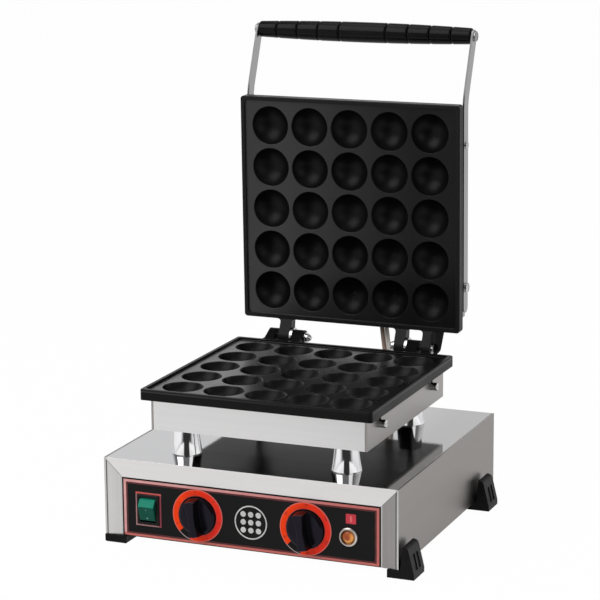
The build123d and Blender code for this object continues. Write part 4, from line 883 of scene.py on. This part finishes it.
def floor_material():
    """Pale matt floor, seen nearly white. Mirrored, it is dark towards the opening from half a metre out."""
    made = bpy.data.materials.new("floor")
    made.use_nodes = True
    tree = made.node_tree
    tree.nodes.clear()
    matt = put(tree, "BsdfDiffuse", {"Color": grey(0.86)})
    seen, mirrored = ray_kinds(tree)
    outward = put(tree, "VectorMath", {0: place(tree)}, operation="NORMALIZE").outputs["Vector"]
    reach = put(tree, "VectorMath", {0: place(tree)}, operation="LENGTH").outputs["Value"]
    near = math_node(tree, "MULTIPLY", studio_opening(tree, outward), mirrored)
    near = math_node(tree, "MULTIPLY", near, spread(tree, reach, 0, 1, 0.485, 0.515))
    far = math_node(tree, "MULTIPLY", studio_opening(tree, outward, 0.58, 0.86), mirrored)
    far = math_node(tree, "MULTIPLY", far, spread(tree, reach, 0, 1, 0.78, 1.0))
    shadowed = math_node(tree, "MAXIMUM", near, far)
    plain = put(tree, "Emission", {"Color": shade(tree, shadowed, WHITE, DARK), "Strength": 1.0})
    share = weighted(tree, (mirrored, 0.5), (shadowed, 0.5), (seen, 0.98))
    mixed = put(tree, "MixShader", {0: share, 1: matt.outputs[0], 2: plain.outputs[0]})
    put(tree, "OutputMaterial", {"Surface": mixed.outputs[0]})
    return made


def add_floor():
    corners = [(x * FLOOR_HALF, y * FLOOR_HALF, 0) for x, y in ((-1, -1), (1, -1), (1, 1), (-1, 1))]
    mesh = bpy.data.meshes.new("floor")
    mesh.from_pydata(corners, [], [range(len(corners))])
    mesh.materials.append(floor_material())
    add_object("floor", mesh)


def add_world():
    """White to the camera, the studio in mirrors, and plain grey light for the rest."""
    world = bpy.data.worlds.new("studio")
    bpy.context.scene.world = world
    world.use_nodes = True
    tree = world.node_tree
    tree.nodes.clear()
    direction = put(tree, "TexCoord").outputs["Generated"]
    _, depth, height = put(tree, "SeparateXYZ", {0: direction}).outputs
    over_front = spread(tree, height, 0, 1, *WALL_TOP_FRONT)
    over_back = spread(tree, height, 0, 1, *WALL_TOP_BACK)
    over = shade(tree, spread(tree, depth, 0, 1, -0.1, 0.3), over_front, over_back)
    walls = shade(tree, over, WHITE, CEILING)
    walls = shade(tree, studio_opening(tree, direction), walls, DARK)
    seen, mirrored = ray_kinds(tree)
    colour = shade(tree, mirrored, rgb(0.40, 0.40, 0.41), walls)
    colour = shade(tree, seen, colour, WHITE)
    background = put(tree, "Background", {"Color": colour, "Strength": 1.0})
    put(tree, "OutputWorld", {"Surface": background.outputs[0]})


def softbox(name, at, aim, size, power):
    """Rectangular light at one point, aimed at another."""
    light = bpy.data.lights.new(name, "AREA")
    light.shape = "RECTANGLE"
    light.size, light.size_y = size
    light.energy = power
    at, aim = Vector(at), Vector(aim)
    turn = (aim - at).to_track_quat("-Z", "Y").to_matrix().to_4x4()
    add_object(name, light).matrix_world = Matrix.Translation(at) @ turn


def add_camera():
    """Camera at the photograph's angle."""
    flat = math.cos(CAMERA_ELEVATION)
    forward = Vector((
        -math.sin(CAMERA_AZIMUTH) * flat,
        math.cos(CAMERA_AZIMUTH) * flat,
        -math.sin(CAMERA_ELEVATION),
    ))
    right = forward.cross(Vector((0, 0, 1))).normalized()
    up = right.cross(forward)
    x_axis = right * math.cos(CAMERA_ROLL) + up * math.sin(CAMERA_ROLL)
    y_axis = up * math.cos(CAMERA_ROLL) - right * math.sin(CAMERA_ROLL)
    camera = bpy.data.cameras.new("camera")
    camera.sensor_width = 36.0
    camera.lens = CAMERA_LENS
    camera.clip_end = 50.0
    obj = add_object("camera", camera)
    turn = Matrix((x_axis, y_axis, -forward)).transposed().to_4x4()
    obj.matrix_world = Matrix.Translation(CAMERA_AT) @ turn
    bpy.context.scene.camera = obj


add_floor()
add_world()
softbox("key", (-1.1, -1.5, 2.3), (0, 0, 0.15), (2.2, 2.2), 46)
softbox("fill", (1.7, -1.2, 1.1), (0, 0, 0.2), (1.0, 1.0), 4)
softbox("top", (0.0, 0.3, 2.2), (0, 0, 0), (1.6, 1.2), 10)
add_camera()
bpy.context.scene.view_settings.view_transform = "Standard"
